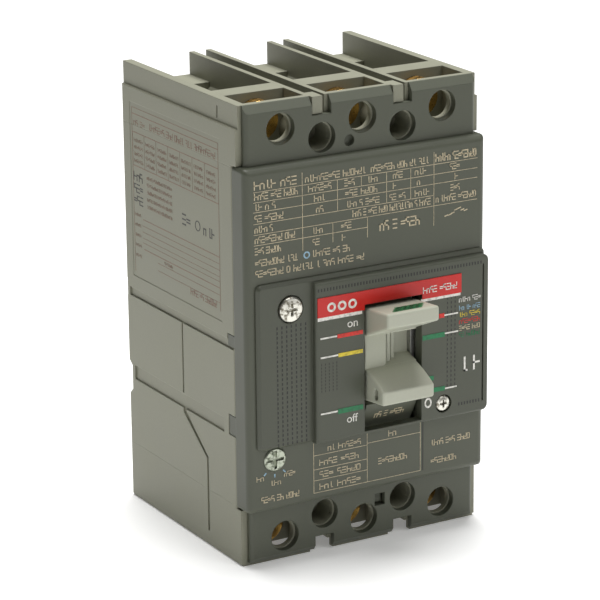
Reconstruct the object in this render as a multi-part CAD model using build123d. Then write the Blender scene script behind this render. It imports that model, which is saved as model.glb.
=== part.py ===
from build123d import *
import math
import os

# Three-pole moulded case circuit breaker with toggle handle.
# Frame: X to the right across the poles, +Y into the mounting panel, +Z up.
# The origin is the centre of the rear mounting face. A depth is a distance forward of that face (-Y).
# All sizes are in millimetres.

# ---------------------------------------------------------------- driving sizes
POLE_PITCH = 25.4
CHAMBER_WIDTH = 18.4
OUTER_WALL = 3.5
CASE_HEIGHT = 130.0
CASE_DEPTH = 64.2
TERMINAL_ZONE = 16.5
REAR_WALL = 4.0
END_WALL = 2.0

END_RIM_STEP = 2.1
END_COVER_THICKNESS = 2.0
END_COVER_INSET = 1.9
INNER_COVER_THICKNESS = 2.0
ACCESSORY_HEIGHT = 6.8
ACCESSORY_WALL = 2.1
COLUMN_HEIGHT = 1.4
PANEL_HEIGHT = 3.2

TERMINAL_INSET = 7.3
FIXING_SET = 5.2
ACCESS_HOLE_R = 4.35
RIM_HOLE_R = 3.9
FIXING_HOLE_R = 2.15
FIXING_HEAD_R = 4.2
FIXING_HEAD_RECESS = 8.0
FIXING_BOSS_R = 5.0

WALL_SLOT_WIDTH = 3.8
WALL_SLOT_LENGTH = 6.0
NOTCH_WIDTH = 6.0
NOTCH_LENGTH = 5.0
TOP_SET_IN = 0.8
TOP_SET_LENGTH = 6.4
REAR_BLOCK_LENGTH = 10.0
REAR_BLOCK_DEPTH = 12.0
CROSSBAR_REAR = 47.0
CROSSBAR_FRONT = 54.0
FRONT_LIP = 1.8
LABEL_RECESS = 0.1

STRAP_WIDTH = 13.0
STRAP_THICKNESS = 2.5
STRAP_DEPTH = 29.0
STRAP_INSET = 6.0
BLADE_DEPTH = 7.0
HEATER_DEPTH = 12.0
HEATER_WIDTH = 10.0
HEATER_TOP = -18.0
CONTACT_PAD = 1.5
CONTACT_HEIGHT = 5.0

SCREW_R = 2.9
SCREW_HEAD_R = 5.6
SCREW_HEAD_LENGTH = 3.8
NUT_SIDE = 9.0
NUT_THICKNESS = 3.5
PAD_SIDE = 10.0
PAD_THICKNESS = 1.5
CLAMP_GAP = 9.0

ROTOR_DEPTH = 26.0
ROTOR_HEIGHT = -4.0
ROTOR_R = 6.8
JOURNAL_R = 5.0
ROTOR_WEB = 3.0
ARM_THICKNESS = 5.0
CRANK_R = 7.5
CRANK_PIN_R = 1.5
LINK_THICKNESS = 1.6
CONTACT_PIN_R = 1.5

MECHANISM_TOP = 18.0
MECHANISM_BOTTOM = -38.0
PARTITION_LOW = 34.0
LEG_RELIEF = 2.6

HANDLE_CENTRE = 6.05
HANDLE_WIDTH = 16.6
HANDLE_PIVOT_SET = 36.2
HANDLE_PIVOT_HEIGHT = -8.0
HANDLE_PROJECTION = 10.5
DRUM_R = 35.1
DRUM_WALL = 5.6
DRUM_UP = 38.0
DRUM_DOWN = 22.6
APRON_R = 38.4
APRON_DOWN = 36.0
APRON_WALL = 2.0
LEG_THICKNESS = 1.4
PIVOT_PIN_R = 2.0
LINK_ARM_FORWARD = 2.0
LINK_ARM_DOWN = 24.0
FRAME_THICKNESS = 1.6
FRAME_GAP = 1.4
SLOT_GAP = 0.95
SLOT_TOP = 7.0
SLOT_BOTTOM = -29.6

PANEL_TOP = 15.2
PANEL_BOTTOM = -30.5
COLUMN_LEFT_MARGIN = 2.6
PANEL_RIGHT_MARGIN = 0.7
PANEL_LEFT = -18.5
BAND_LEFT = -18.0
BAND_RIGHT = 28.1
BAND_TOP = 11.0
BAND_BOTTOM = 5.5
BAND_THICKNESS = 0.25

COVER_SCREW_X = -25.3
COVER_SCREW_Z = 8.8
COVER_SCREW_HEAD_R = 3.6
SMALL_SCREW_X = 22.5
SMALL_SCREW_Z = -26.1
SMALL_SCREW_HEAD_R = 2.35
LID_SCREW_INSET = 24.0

DIAL_X = -29.9
DIAL_Z = -33.6
DIAL_R = 3.4
DIAL_STEM_R = 1.6
PORT_X = 5.2
PORT_SET = 4.5
PORT_WIDTH = 3.4
PORT_HEIGHT = 3.6
BUTTON_TRAVEL = 1.5
BUTTON_RECESS = 1.5
PILOT_HOLE_X = -4.2
PILOT_HOLE_SET = 3.3
PILOT_HOLE_R = 1.6

TRIP_BAR_SET = 12.2
TRIP_BAR_Z = -33.0
TRIP_BAR_R = 2.2
TRIP_JOURNAL_R = 1.5
TRIP_LEVER = 10.0
ARMATURE_PIN_DEPTH = 27.5
ARMATURE_PIN_Z = -38.5
ARMATURE_PIN_R = 1.0
ARMATURE_LENGTH = 17.0
ARMATURE_WIDTH = 12.0
ARMATURE_THICKNESS = 1.5
ARMATURE_GAP = 2.6
YOKE_WIDTH = 14.0
YOKE_SHEET = 1.5
YOKE_HEIGHT = 10.0
BIMETAL_WIDTH = 6.0
BIMETAL_THICKNESS = 1.0

PLATE_COUNT = 10
PLATE_THICKNESS = 1.0
PLATE_PITCH = 3.0
PLATE_BOTTOM = 17.0
CHUTE_REAR = 12.0
CHEEK_THICKNESS = 0.8

# ---------------------------------------------------------------- clearances
RUNNING = 0.05
MOVING = 0.3
FIT = 0.2
CONTACT_GAP = 0.2

# ---------------------------------------------------------------- places worked out from the sizes
POLES = (-POLE_PITCH, 0.0, POLE_PITCH)
WALLS = (-POLE_PITCH / 2, POLE_PITCH / 2)
INNER_HALF = POLE_PITCH + CHAMBER_WIDTH / 2
CASE_HALF = INNER_HALF + OUTER_WALL
TOP = CASE_HEIGHT / 2
MID_HALF = TOP - TERMINAL_ZONE
CHAMBER_HALF = MID_HALF - END_WALL - 0.5
END_RIM = CASE_DEPTH + END_RIM_STEP
END_FACE = END_RIM + END_COVER_THICKNESS
INNER_FACE = CASE_DEPTH + INNER_COVER_THICKNESS
ACCESSORY_FACE = CASE_DEPTH + ACCESSORY_HEIGHT
ACCESSORY_INNER = ACCESSORY_FACE - ACCESSORY_WALL
COLUMN_FACE = ACCESSORY_FACE + COLUMN_HEIGHT
PANEL_FACE = ACCESSORY_FACE + PANEL_HEIGHT
TERMINAL_Z = TOP - TERMINAL_INSET
FIXING_Z = MID_HALF + FIXING_SET
WALL_WIDTH = POLE_PITCH - CHAMBER_WIDTH
PIVOT_DEPTH = PANEL_FACE - HANDLE_PIVOT_SET
HANDLE_FRONT = PANEL_FACE + HANDLE_PROJECTION
HANDLE_LEFT = HANDLE_CENTRE - HANDLE_WIDTH / 2
HANDLE_RIGHT = HANDLE_CENTRE + HANDLE_WIDTH / 2
LINK_PIN_DEPTH = PIVOT_DEPTH + LINK_ARM_FORWARD
LINK_PIN_Z = HANDLE_PIVOT_HEIGHT - LINK_ARM_DOWN
PANEL_RIGHT = CASE_HALF - PANEL_RIGHT_MARGIN
COLUMN_LEFT = COLUMN_LEFT_MARGIN - CASE_HALF
TRIP_BAR_DEPTH = CASE_DEPTH - TRIP_BAR_SET
LID_SCREW_Z = TOP - LID_SCREW_INSET
PORT_Z = -MID_HALF - PORT_SET
PILOT_HOLE_Z = MID_HALF + PILOT_HOLE_SET


# ---------------------------------------------------------------- shape helpers
def slab(x0, x1, d0, d1, z0, z1):
    """A block between two X values, two depths and two heights."""
    block = Box(x1 - x0, d1 - d0, z1 - z0)
    return Pos((x0 + x1) / 2, -(d0 + d1) / 2, (z0 + z1) / 2) * block


def bore(x, z, d0, d1, radius):
    """A cylinder that runs front to back."""
    return Pos(x, -(d0 + d1) / 2, z) * Rot(90, 0, 0) * Cylinder(radius, d1 - d0)


def rod(x0, x1, depth, z, radius):
    """A cylinder that runs across the poles."""
    return Pos((x0 + x1) / 2, -depth, z) * Rot(0, 90, 0) * Cylinder(radius, x1 - x0)


def side_profile(points, x0, x1):
    """A plate cut from an outline of (depth, height) points, between two X values."""
    outline = Polyline([(x0, -depth, z) for depth, z in points], close=True)
    return extrude(make_face(outline), amount=x1 - x0, dir=(1, 0, 0))


def sector(depth, z, r_in, r_out, down_deg, up_deg, x0, x1):
    """A curved wall about an axis along X, from an angle below forward to one above it."""
    def point(radius, angle):
        turn = math.radians(angle)
        return (x0, -depth - radius * math.cos(turn), z + radius * math.sin(turn))

    middle = (up_deg - down_deg) / 2
    outer = ThreePointArc(point(r_out, -down_deg), point(r_out, middle), point(r_out, up_deg))
    inner = ThreePointArc(point(r_in, up_deg), point(r_in, middle), point(r_in, -down_deg))
    ends = [Line(point(r_out, up_deg), point(r_in, up_deg)), Line(point(r_in, -down_deg), point(r_out, -down_deg))]
    outline = Wire([outer.edge(), ends[0].edge(), inner.edge(), ends[1].edge()])
    return extrude(make_face(outline), amount=x1 - x0, dir=(1, 0, 0))


def cross_slot(x, z, face, length, width, depth):
    """The cross recess of a screw head whose face is at a depth."""
    across = slab(x - length / 2, x + length / 2, face - depth, face + 1, z - width / 2, z + width / 2)
    upright = slab(x - width / 2, x + width / 2, face - depth, face + 1, z - length / 2, z + length / 2)
    return across + upright


def coil(radius, wire_r, pitch, length):
    """A helical spring along Z from the origin."""
    path = Helix(pitch=pitch, height=length, radius=radius)
    section = Plane(origin=path @ 0, z_dir=path % 0) * Circle(wire_r)
    return sweep(section, path=path)


def mirrored(shape):
    """A shape and its mirror image in the mid-height plane."""
    return shape + shape.mirror(Plane.XY)


# ---------------------------------------------------------------- mouldings
def side_relief():
    """Grooves and notches in the right-hand side wall of the case."""
    skin = 0.5
    x0 = CASE_HALF - skin
    x1 = CASE_HALF + 1
    cuts = slab(x0, x1, 2.2, CASE_DEPTH - 0.6, -3.1, -0.6)
    cuts += slab(x0, x1, 33.6, 34.4, -23.6, -3.1)
    cuts += slab(x0, x1, 4.0, 57.5, -28.2, -24.0)
    diagonal = [(33.7, -28.0), (34.7, -28.0), (48.1, -38.6), (48.1, 2.0 - MID_HALF - 14.0),
                (47.1, 2.0 - MID_HALF - 14.0), (47.1, -39.0), (33.7, -29.4)]
    cuts += side_profile(diagonal, x0, x1)
    cuts += slab(x0, x1, -1, CASE_DEPTH + 4, -TOP - 1, -TOP + 0.6)
    cuts += slab(CASE_HALF - TOP_SET_IN, x1, -1, END_RIM + 1, TOP - TOP_SET_LENGTH, TOP + 1)
    cuts += slab(CASE_HALF - 1.6, x1, 54.8, 55.4, TOP - 5.4, TOP - 2.0)
    rear = [(-1, -22.6), (0, -22.6), (2.4, -24.4), (2.4, -31.6), (0, -33.8), (-1, -33.8)]
    cuts += side_profile(rear, CASE_HALF - OUTER_WALL - 1, x1)
    cuts += slab(x0, x1, -1, 0.8, -3.6, 1.6)
    for low, high in ((-2.6, 1.1), (-28.0, -22.0)):
        cuts += slab(CASE_HALF - ACCESSORY_WALL, x1, CASE_DEPTH - 4.0, CASE_DEPTH + 1, low, high)
    return cuts


def terminal_pocket(x):
    """The open compartment at the upper end of one pole."""
    left = x - CHAMBER_WIDTH / 2
    right = x + CHAMBER_WIDTH / 2
    floor = MID_HALF - 0.5
    pocket = slab(left, right, REAR_BLOCK_DEPTH, CROSSBAR_REAR, floor, TOP + 1)
    pocket += slab(left, right, -1, REAR_BLOCK_DEPTH, TOP - REAR_BLOCK_LENGTH + 3.5, TOP + 1)
    pocket += slab(left, right, CROSSBAR_FRONT, END_RIM - FRONT_LIP, floor, TOP + 1)
    pocket += bore(x, TERMINAL_Z, CROSSBAR_REAR - 1, CROSSBAR_FRONT + 1, SCREW_R + FIT)
    pocket += bore(x, TERMINAL_Z, END_RIM - FRONT_LIP - 1, END_RIM + 1, RIM_HOLE_R)
    pocket += slab(x - NUT_SIDE / 2, x + NUT_SIDE / 2, CROSSBAR_REAR + 1, CROSSBAR_REAR + 1 + NUT_THICKNESS,
                   TERMINAL_Z - NUT_SIDE / 2, TERMINAL_Z + NUT_SIDE / 2)
    strap_half = STRAP_WIDTH / 2 + FIT
    pocket += slab(x - strap_half, x + strap_half, STRAP_DEPTH - FIT, STRAP_DEPTH + STRAP_THICKNESS + FIT,
                   CHAMBER_HALF - 1, floor + 1)
    return pocket


def case_moulding():
    """The light grey base: three pole chambers, partitions, end compartments and rear wall."""
    body = slab(-CASE_HALF, CASE_HALF, 0, CASE_DEPTH, -TOP, TOP)
    body = fillet(body.edges().filter_by(Axis.Z), 0.8)
    body += mirrored(slab(-CASE_HALF, CASE_HALF, CASE_DEPTH - 2, END_RIM, MID_HALF + 0.1, TOP))
    cuts = []
    for x in POLES:
        left = x - CHAMBER_WIDTH / 2
        right = x + CHAMBER_WIDTH / 2
        cuts.append(slab(left, right, REAR_WALL, CASE_DEPTH + 1, -CHAMBER_HALF, CHAMBER_HALF))
        pocket = terminal_pocket(x)
        cuts.append(pocket)
        cuts.append(pocket.mirror(Plane.XY))
    cuts.append(slab(-INNER_HALF, INNER_HALF, PARTITION_LOW, CASE_DEPTH + 1, MECHANISM_BOTTOM, MECHANISM_TOP))
    cuts.append(slab(CHAMBER_WIDTH / 2 - 1, POLE_PITCH / 2 + WALL_WIDTH / 2 + 1, PARTITION_LOW - LEG_RELIEF,
                     PARTITION_LOW + 1, LINK_PIN_Z - 4.5, HANDLE_PIVOT_HEIGHT - 1))
    for x in WALLS:
        half = WALL_SLOT_WIDTH / 2
        slot = slab(x - half, x + half, -1, END_RIM + 1, TOP - WALL_SLOT_LENGTH, TOP + 1)
        cuts.append(slot)
        cuts.append(slot.mirror(Plane.XY))
        journal = rod(x - WALL_WIDTH, x + WALL_WIDTH, ROTOR_DEPTH, ROTOR_HEIGHT, JOURNAL_R + RUNNING)
        way_in = slab(x - WALL_WIDTH, x + WALL_WIDTH, ROTOR_DEPTH, PARTITION_LOW + 1,
                      ROTOR_HEIGHT - JOURNAL_R - RUNNING, ROTOR_HEIGHT + JOURNAL_R + RUNNING)
        cuts.append(journal)
        cuts.append(way_in)
    relief = side_relief()
    cuts.append(relief)
    cuts.append(relief.mirror(Plane.YZ))
    cuts.append(slab(-CASE_HALF - 1, LABEL_RECESS - CASE_HALF, 4.8, 57.6, 3.4, 54.4))
    trip_end = INNER_HALF + 2.0
    cuts.append(rod(-trip_end, trip_end, TRIP_BAR_DEPTH, TRIP_BAR_Z, TRIP_JOURNAL_R + RUNNING))
    body -= cuts
    bosses = []
    holes = []
    for x in WALLS:
        for z in (-FIXING_Z, FIXING_Z):
            bosses.append(bore(x, z, 0, END_RIM, FIXING_BOSS_R))
            holes.append(bore(x, z, -1, END_RIM + 1, FIXING_HOLE_R))
            holes.append(bore(x, z, END_RIM - FIXING_HEAD_RECESS, END_RIM + 1, FIXING_HEAD_R - 0.4))
        for z in (-LID_SCREW_Z, LID_SCREW_Z):
            holes.append(bore(x, z, CASE_DEPTH - 18, CASE_DEPTH + 1, 1.4))
        bosses.append(slab(x - 2.6, x + 0.6, END_RIM - 4, END_RIM + 1.4, TOP - NOTCH_LENGTH + FIT, TOP))
        holes.append(slab(x - 3.6, x + 3.6, CROSSBAR_FRONT + 2, END_RIM + 1, -TOP - 1, NOTCH_LENGTH - 2.0 - TOP))
    body += bosses
    button_half = PORT_WIDTH / 2 + 0.1
    holes.append(slab(PORT_X - button_half, PORT_X + button_half, END_RIM - FRONT_LIP - 1, END_RIM + 1,
                      PORT_Z - PORT_HEIGHT / 2 - 0.1, PORT_Z + PORT_HEIGHT / 2 + 0.1))
    holes.append(slab(PORT_X - 1.3, PORT_X + 1.3, CASE_DEPTH - 6.4, CASE_DEPTH + 1, -MID_HALF - 1, 1 - CHAMBER_HALF))
    for x in POLES:
        holes.append(rod(x - CHAMBER_WIDTH / 2 - 1.5, x + CHAMBER_WIDTH / 2 + 1.5, ARMATURE_PIN_DEPTH,
                         ARMATURE_PIN_Z, ARMATURE_PIN_R))
    return body - holes


def case_nodes():
    """The base moulding as its tub and, at each end, the walls, rear blocks, crossbars and front rails."""
    body = case_moulding()
    floor = MID_HALF - 0.5
    side = CASE_HALF + 1
    nodes = {"rear_case": body & slab(-side, side, -1, END_FACE + 1, -floor, floor)}
    layers = {"rear_blocks": (0, REAR_BLOCK_DEPTH), "crossbars": (CROSSBAR_REAR, CROSSBAR_FRONT),
              "front_rails": (END_RIM - FRONT_LIP, END_RIM)}
    for word, low, high in (("line", floor, TOP + 1), ("load", -TOP - 1, -floor)):
        walls = body & slab(-side, side, -1, END_FACE + 1, low, high)
        for layer, (rear, front) in layers.items():
            bays = [slab(x - CHAMBER_WIDTH / 2, x + CHAMBER_WIDTH / 2, rear, front, low, high) for x in POLES]
            nodes[f"{word}_{layer}"] = Compound(children=[body & bay for bay in bays])
            walls -= bays
        nodes[f"{word}_end_walls"] = walls
    return nodes


def inner_cover():
    """The dark inner cover, whose raised end pads show above and below the accessory cover."""
    half = CASE_HALF - END_COVER_INSET
    middle = slab(-CASE_HALF + ACCESSORY_WALL + FIT, CASE_HALF - ACCESSORY_WALL - FIT, CASE_DEPTH, INNER_FACE,
                  -MID_HALF + 0.5, MID_HALF - 0.5)
    step = slab(-half, half, INNER_FACE - 1, END_FACE, MID_HALF - 2.0, MID_HALF)
    step += slab(-half, half, CASE_DEPTH, END_FACE, MID_HALF - 2.0, MID_HALF - 0.3)
    pad = slab(-half, half, END_RIM, END_FACE, MID_HALF - 1, TOP)
    pad = fillet(pad.edges().filter_by(Axis.Z).group_by(Axis.Y)[0], 1.2)
    pad -= side_profile([(END_RIM + 0.3, TOP), (END_FACE, TOP - 2.3), (END_FACE + 1, TOP - 2.3), (END_FACE + 1, TOP + 1),
                         (END_RIM + 0.3, TOP + 1)], -CASE_HALF, CASE_HALF)
    ends = mirrored(pad + step)
    body = middle + ends
    body -= slab(-CASE_HALF, CASE_HALF, CASE_DEPTH - 1, END_FACE + 1, -TOP - 1, -TOP + 1.0)
    cuts = []
    for x in POLES:
        for z in (-TERMINAL_Z, TERMINAL_Z):
            cuts.append(bore(x, z, END_RIM - 1, END_FACE + 1, ACCESS_HOLE_R))
    for x in WALLS:
        for z in (-FIXING_Z, FIXING_Z):
            cuts.append(bore(x, z, CASE_DEPTH - 1, END_FACE + 1, FIXING_HEAD_R))
        for z in (-LID_SCREW_Z, LID_SCREW_Z):
            cuts.append(bore(x, z, CASE_DEPTH - 1, INNER_FACE + 1, 1.6))
        notch = slab(x - NOTCH_WIDTH / 2, x + NOTCH_WIDTH / 2, END_RIM - 1, END_FACE + 1, TOP - NOTCH_LENGTH, TOP + 1)
        cuts.append(notch)
        cuts.append(notch.mirror(Plane.XY))
    cuts.append(bore(PILOT_HOLE_X, PILOT_HOLE_Z, END_FACE - 1.4, END_FACE + 1, PILOT_HOLE_R))
    cuts.append(slab(PORT_X - PORT_WIDTH / 2, PORT_X + PORT_WIDTH / 2, END_RIM - 1, END_FACE + 1,
                     PORT_Z - PORT_HEIGHT / 2, PORT_Z + PORT_HEIGHT / 2))
    window = HANDLE_WIDTH / 2 + 2.4
    cuts.append(slab(HANDLE_CENTRE - window, HANDLE_CENTRE + window, CASE_DEPTH - 1, INNER_FACE + 1, -38.0, 17.2))
    cuts.append(bore(DIAL_X, DIAL_Z, CASE_DEPTH - 1, INNER_FACE + 1, DIAL_STEM_R + RUNNING))
    body -= cuts
    bosses = bore(COVER_SCREW_X, COVER_SCREW_Z, CASE_DEPTH - 6, INNER_FACE, 3.6)
    bosses += bore(SMALL_SCREW_X, SMALL_SCREW_Z, CASE_DEPTH - 6, INNER_FACE, 2.8)
    threads = bore(COVER_SCREW_X, COVER_SCREW_Z, CASE_DEPTH - 7, INNER_FACE + 1, 1.75)
    threads += bore(SMALL_SCREW_X, SMALL_SCREW_Z, CASE_DEPTH - 7, INNER_FACE + 1, 1.2)
    return body + bosses - threads


def cover_nodes():
    """The inner cover as its flat middle and its two raised end covers."""
    body = inner_cover()
    side = CASE_HALF + 1
    edge = MID_HALF - 2.0
    zones = {"main_cover": (-edge, edge), "line_end_cover": (edge, TOP + 1), "load_end_cover": (-TOP - 1, -edge)}
    return {node: body & slab(-side, side, 0, END_FACE + 1, low, high) for node, (low, high) in zones.items()}


def accessory_cover():
    """The wider dark cover over the middle of the breaker, with tabs into the case's side notches."""
    outer = slab(-CASE_HALF, CASE_HALF, CASE_DEPTH, ACCESSORY_FACE, -MID_HALF, MID_HALF)
    outer = fillet(outer.edges().filter_by(Axis.Y), 1.2)
    outer = fillet(outer.faces().sort_by(Axis.Y)[0].edges(), 1.9)
    side = CASE_HALF - ACCESSORY_WALL
    hollow = slab(-side, side, CASE_DEPTH - 1, ACCESSORY_INNER, 2.1 - MID_HALF, MID_HALF - 2.1)
    seat = slab(-side, side, CASE_DEPTH - 1, END_FACE, -MID_HALF - 1, MID_HALF + 1)
    step_half = CASE_HALF - END_COVER_INSET + RUNNING
    seat += mirrored(slab(-step_half, step_half, CASE_DEPTH - 1, END_FACE, MID_HALF - 2.2, MID_HALF + 1))
    tabs = []
    for low, high in ((-2.6, 1.1), (-28.0, -22.0)):
        tab = slab(side, CASE_HALF - 0.1, CASE_DEPTH - 4.0 + FIT, CASE_DEPTH + 0.5, low + FIT, high - FIT)
        tabs.append(tab)
        tabs.append(tab.mirror(Plane.YZ))
    body = outer - [hollow, seat]
    body += tabs
    window = HANDLE_WIDTH / 2 + 1.6
    cuts = [slab(HANDLE_CENTRE - window, HANDLE_CENTRE + window, ACCESSORY_INNER - 1, ACCESSORY_FACE + 1, -31.2, 10.2)]
    cuts.append(bore(DIAL_X, DIAL_Z, ACCESSORY_INNER - 1, ACCESSORY_FACE + 1, DIAL_R + RUNNING))
    cuts.append(bore(COVER_SCREW_X, COVER_SCREW_Z, ACCESSORY_INNER - 1, ACCESSORY_FACE + 1, 1.95))
    cuts.append(bore(SMALL_SCREW_X, SMALL_SCREW_Z, ACCESSORY_INNER - 1, ACCESSORY_FACE + 1, 1.4))
    return body - cuts


def escutcheon():
    """The raised front plate round the handle, with a lower left column and a stepped right panel."""
    column = slab(COLUMN_LEFT, PANEL_RIGHT, ACCESSORY_FACE, COLUMN_FACE, PANEL_BOTTOM, PANEL_TOP + 1.3)
    column = fillet(column.edges().filter_by(Axis.Y), 1.6)
    column = chamfer(column.faces().sort_by(Axis.Y)[0].edges(), 0.9)
    panel = slab(PANEL_LEFT, PANEL_RIGHT, ACCESSORY_FACE, PANEL_FACE, PANEL_BOTTOM, PANEL_TOP)
    panel = fillet(panel.edges().filter_by(Axis.Y).sort_by(Axis.X)[2:], 1.8)
    panel = fillet(panel.faces().sort_by(Axis.Y)[0].edges(), 0.7)
    body = column + panel
    slot_half = HANDLE_WIDTH / 2 + SLOT_GAP
    cuts = [slab(HANDLE_CENTRE - slot_half, HANDLE_CENTRE + slot_half, ACCESSORY_FACE - 1, PANEL_FACE + 1,
                 SLOT_BOTTOM, SLOT_TOP)]
    groove = PANEL_RIGHT - 2.2
    cuts.append(slab(groove, groove + 0.5, PANEL_FACE - 0.6, PANEL_FACE + 1, PANEL_BOTTOM + 3, PANEL_TOP - 2.6))
    cuts.append(bore(COVER_SCREW_X, COVER_SCREW_Z, ACCESSORY_FACE - 1, COLUMN_FACE + 1, 1.95))
    cuts.append(bore(COVER_SCREW_X, COVER_SCREW_Z, COLUMN_FACE - 0.8, COLUMN_FACE + 1, COVER_SCREW_HEAD_R + 0.35))
    cuts.append(bore(SMALL_SCREW_X, SMALL_SCREW_Z, ACCESSORY_FACE - 1, PANEL_FACE + 1, 1.4))
    cuts.append(bore(SMALL_SCREW_X, SMALL_SCREW_Z, PANEL_FACE - 1.5, PANEL_FACE + 1, SMALL_SCREW_HEAD_R + 0.3))
    cuts.append(bore(DIAL_X, DIAL_Z, ACCESSORY_FACE - 1, COLUMN_FACE + 1, DIAL_R + MOVING))
    return body - cuts


def colour_band():
    """The thin coloured strip on the front panel, cut round the handle's slot."""
    band = slab(BAND_LEFT, BAND_RIGHT, PANEL_FACE, PANEL_FACE + BAND_THICKNESS, BAND_BOTTOM, BAND_TOP)
    slot_half = HANDLE_WIDTH / 2 + SLOT_GAP
    return band - slab(HANDLE_CENTRE - slot_half, HANDLE_CENTRE + slot_half, PANEL_FACE - 1, PANEL_FACE + 1,
                       BAND_BOTTOM - 1, SLOT_TOP)


# ---------------------------------------------------------------- handle and mechanism
def toggle_handle():
    """The C-shaped finger grip on its drum, with a ribbed recess between bar and wedge."""
    drum = sector(PIVOT_DEPTH, HANDLE_PIVOT_HEIGHT, DRUM_R - DRUM_WALL, DRUM_R, DRUM_DOWN, DRUM_UP,
                  HANDLE_LEFT, HANDLE_RIGHT)
    root = PIVOT_DEPTH + DRUM_R - 3.2
    bar_points = [(root - 2, 5.1), (HANDLE_FRONT, 6.6), (HANDLE_FRONT, 2.5), (root + 3.2, -2.6), (root - 2, -3.6)]
    bar = side_profile(bar_points, HANDLE_LEFT, HANDLE_RIGHT)
    face = root + 3.2
    start = (HANDLE_LEFT, -face, -12.2)
    wedge_front = HANDLE_FRONT - 2.4
    sweep_over = ThreePointArc(start, (HANDLE_LEFT, -(face + 4.6), -13.9), (HANDLE_LEFT, -wedge_front, -16.4))
    bottom_rear = (HANDLE_LEFT, -(face - 3.0), -21.5)
    rest = Polyline([(HANDLE_LEFT, -wedge_front, -16.4), (HANDLE_LEFT, -wedge_front, -20.2), bottom_rear,
                     (HANDLE_LEFT, -(face - 3.0), -12.2), start])
    wedge = extrude(make_face(Wire(sweep_over.edges() + rest.edges())), amount=HANDLE_WIDTH, dir=(1, 0, 0))
    body = bar + wedge
    outer_edges = body.edges().filter_by(lambda edge: edge.center().Y < -(face + 1.5))
    body = fillet(outer_edges, 0.7)
    body = body + drum
    recess = side_profile([(face - 5.0, -3.1), (face + 0.6, -3.1), (face + 0.6, -12.4), (face - 5.0, -10.8)],
                          HANDLE_LEFT + 6.4, HANDLE_RIGHT + 1)
    body -= recess
    ribs = []
    for index in range(3):
        left = HANDLE_LEFT + 6.4 + index * 1.9
        ribs.append(slab(left - 0.2, left + 0.9, face - 5.2, face - 1.0 - index * 1.0, -12.6, -2.9))
    lock_hole = rod(HANDLE_LEFT - 1, HANDLE_LEFT + 4, face + 5.6, -18.5, 1.0)
    lock_hole += rod(HANDLE_LEFT - 1, HANDLE_LEFT + 4, face + 5.6, -17.1, 1.0)
    lock_hole += slab(HANDLE_LEFT - 1, HANDLE_LEFT + 4, face + 4.6, face + 6.6, -18.5, -17.1)
    return body + ribs - lock_hole


def rating_apron():
    """The dark curved rating plate below the grip, with its foot, that keeps the slot closed as the handle moves."""
    plate = sector(PIVOT_DEPTH, HANDLE_PIVOT_HEIGHT, APRON_R - APRON_WALL, APRON_R, APRON_DOWN, 0.8 - DRUM_DOWN,
                   HANDLE_LEFT, HANDLE_RIGHT)
    foot = sector(PIVOT_DEPTH, HANDLE_PIVOT_HEIGHT, DRUM_R - APRON_WALL, APRON_R - 0.5, DRUM_DOWN + 2.4,
                  -DRUM_DOWN - 0.4, HANDLE_LEFT, HANDLE_RIGHT)
    return plate + foot


def leg_outline(x0, x1):
    """One steel leg of the handle yoke: pivot eye, arm to the drum and arm to the link pin."""
    reach = DRUM_R - DRUM_WALL + 2.4
    leg = rod(x0, x1, PIVOT_DEPTH, HANDLE_PIVOT_HEIGHT, 3.6)
    leg += side_profile([(PIVOT_DEPTH, HANDLE_PIVOT_HEIGHT - 3.6), (PIVOT_DEPTH + reach, HANDLE_PIVOT_HEIGHT - 6),
                         (PIVOT_DEPTH + reach, HANDLE_PIVOT_HEIGHT + 6), (PIVOT_DEPTH, HANDLE_PIVOT_HEIGHT + 3.6)],
                        x0, x1)
    leg += side_profile([(PIVOT_DEPTH - 3.5, HANDLE_PIVOT_HEIGHT), (LINK_PIN_DEPTH - 3, LINK_PIN_Z),
                         (LINK_PIN_DEPTH + 3, LINK_PIN_Z), (PIVOT_DEPTH + 3.5, HANDLE_PIVOT_HEIGHT)], x0, x1)
    leg += rod(x0, x1, LINK_PIN_DEPTH, LINK_PIN_Z, 3.0)
    leg -= rod(x0 - 1, x1 + 1, PIVOT_DEPTH, HANDLE_PIVOT_HEIGHT, PIVOT_PIN_R + RUNNING)
    return leg - rod(x0 - 1, x1 + 1, LINK_PIN_DEPTH, LINK_PIN_Z, CRANK_PIN_R)


def handle_yoke():
    """Two steel legs either side of the drum."""
    left = leg_outline(HANDLE_LEFT - LEG_THICKNESS, HANDLE_LEFT)
    right = leg_outline(HANDLE_RIGHT, HANDLE_RIGHT + LEG_THICKNESS)
    return [left, right]


def frame_x():
    """Inner X faces of the two mechanism side plates."""
    reach = HANDLE_WIDTH / 2 + LEG_THICKNESS + FRAME_GAP
    return HANDLE_CENTRE - reach, HANDLE_CENTRE + reach


def mechanism_frame():
    """Two steel side plates that carry the handle's pivot pin, standing on the partitions."""
    left, right = frame_x()
    foot = PARTITION_LOW + FIT
    outline = [(foot, -20.0), (foot, 6.0), (PIVOT_DEPTH + 14, 6.0), (PIVOT_DEPTH + 14, -4.0),
               (PIVOT_DEPTH + 8, -20.0)]
    plates = []
    for x0, x1 in ((left - FRAME_THICKNESS, left), (right, right + FRAME_THICKNESS)):
        plate = side_profile(outline, x0, x1)
        plate -= rod(x0 - 1, x1 + 1, PIVOT_DEPTH, HANDLE_PIVOT_HEIGHT, PIVOT_PIN_R)
        plate -= rod(x0 - 1, x1 + 1, PIVOT_DEPTH + 10, 1.5, CRANK_PIN_R)
        plates.append(plate)
    strap = slab(-POLE_PITCH / 2 - 1.5, right, foot, foot + 1.2, 1.0, 6.0)
    return plates[0] + plates[1] + strap


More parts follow.
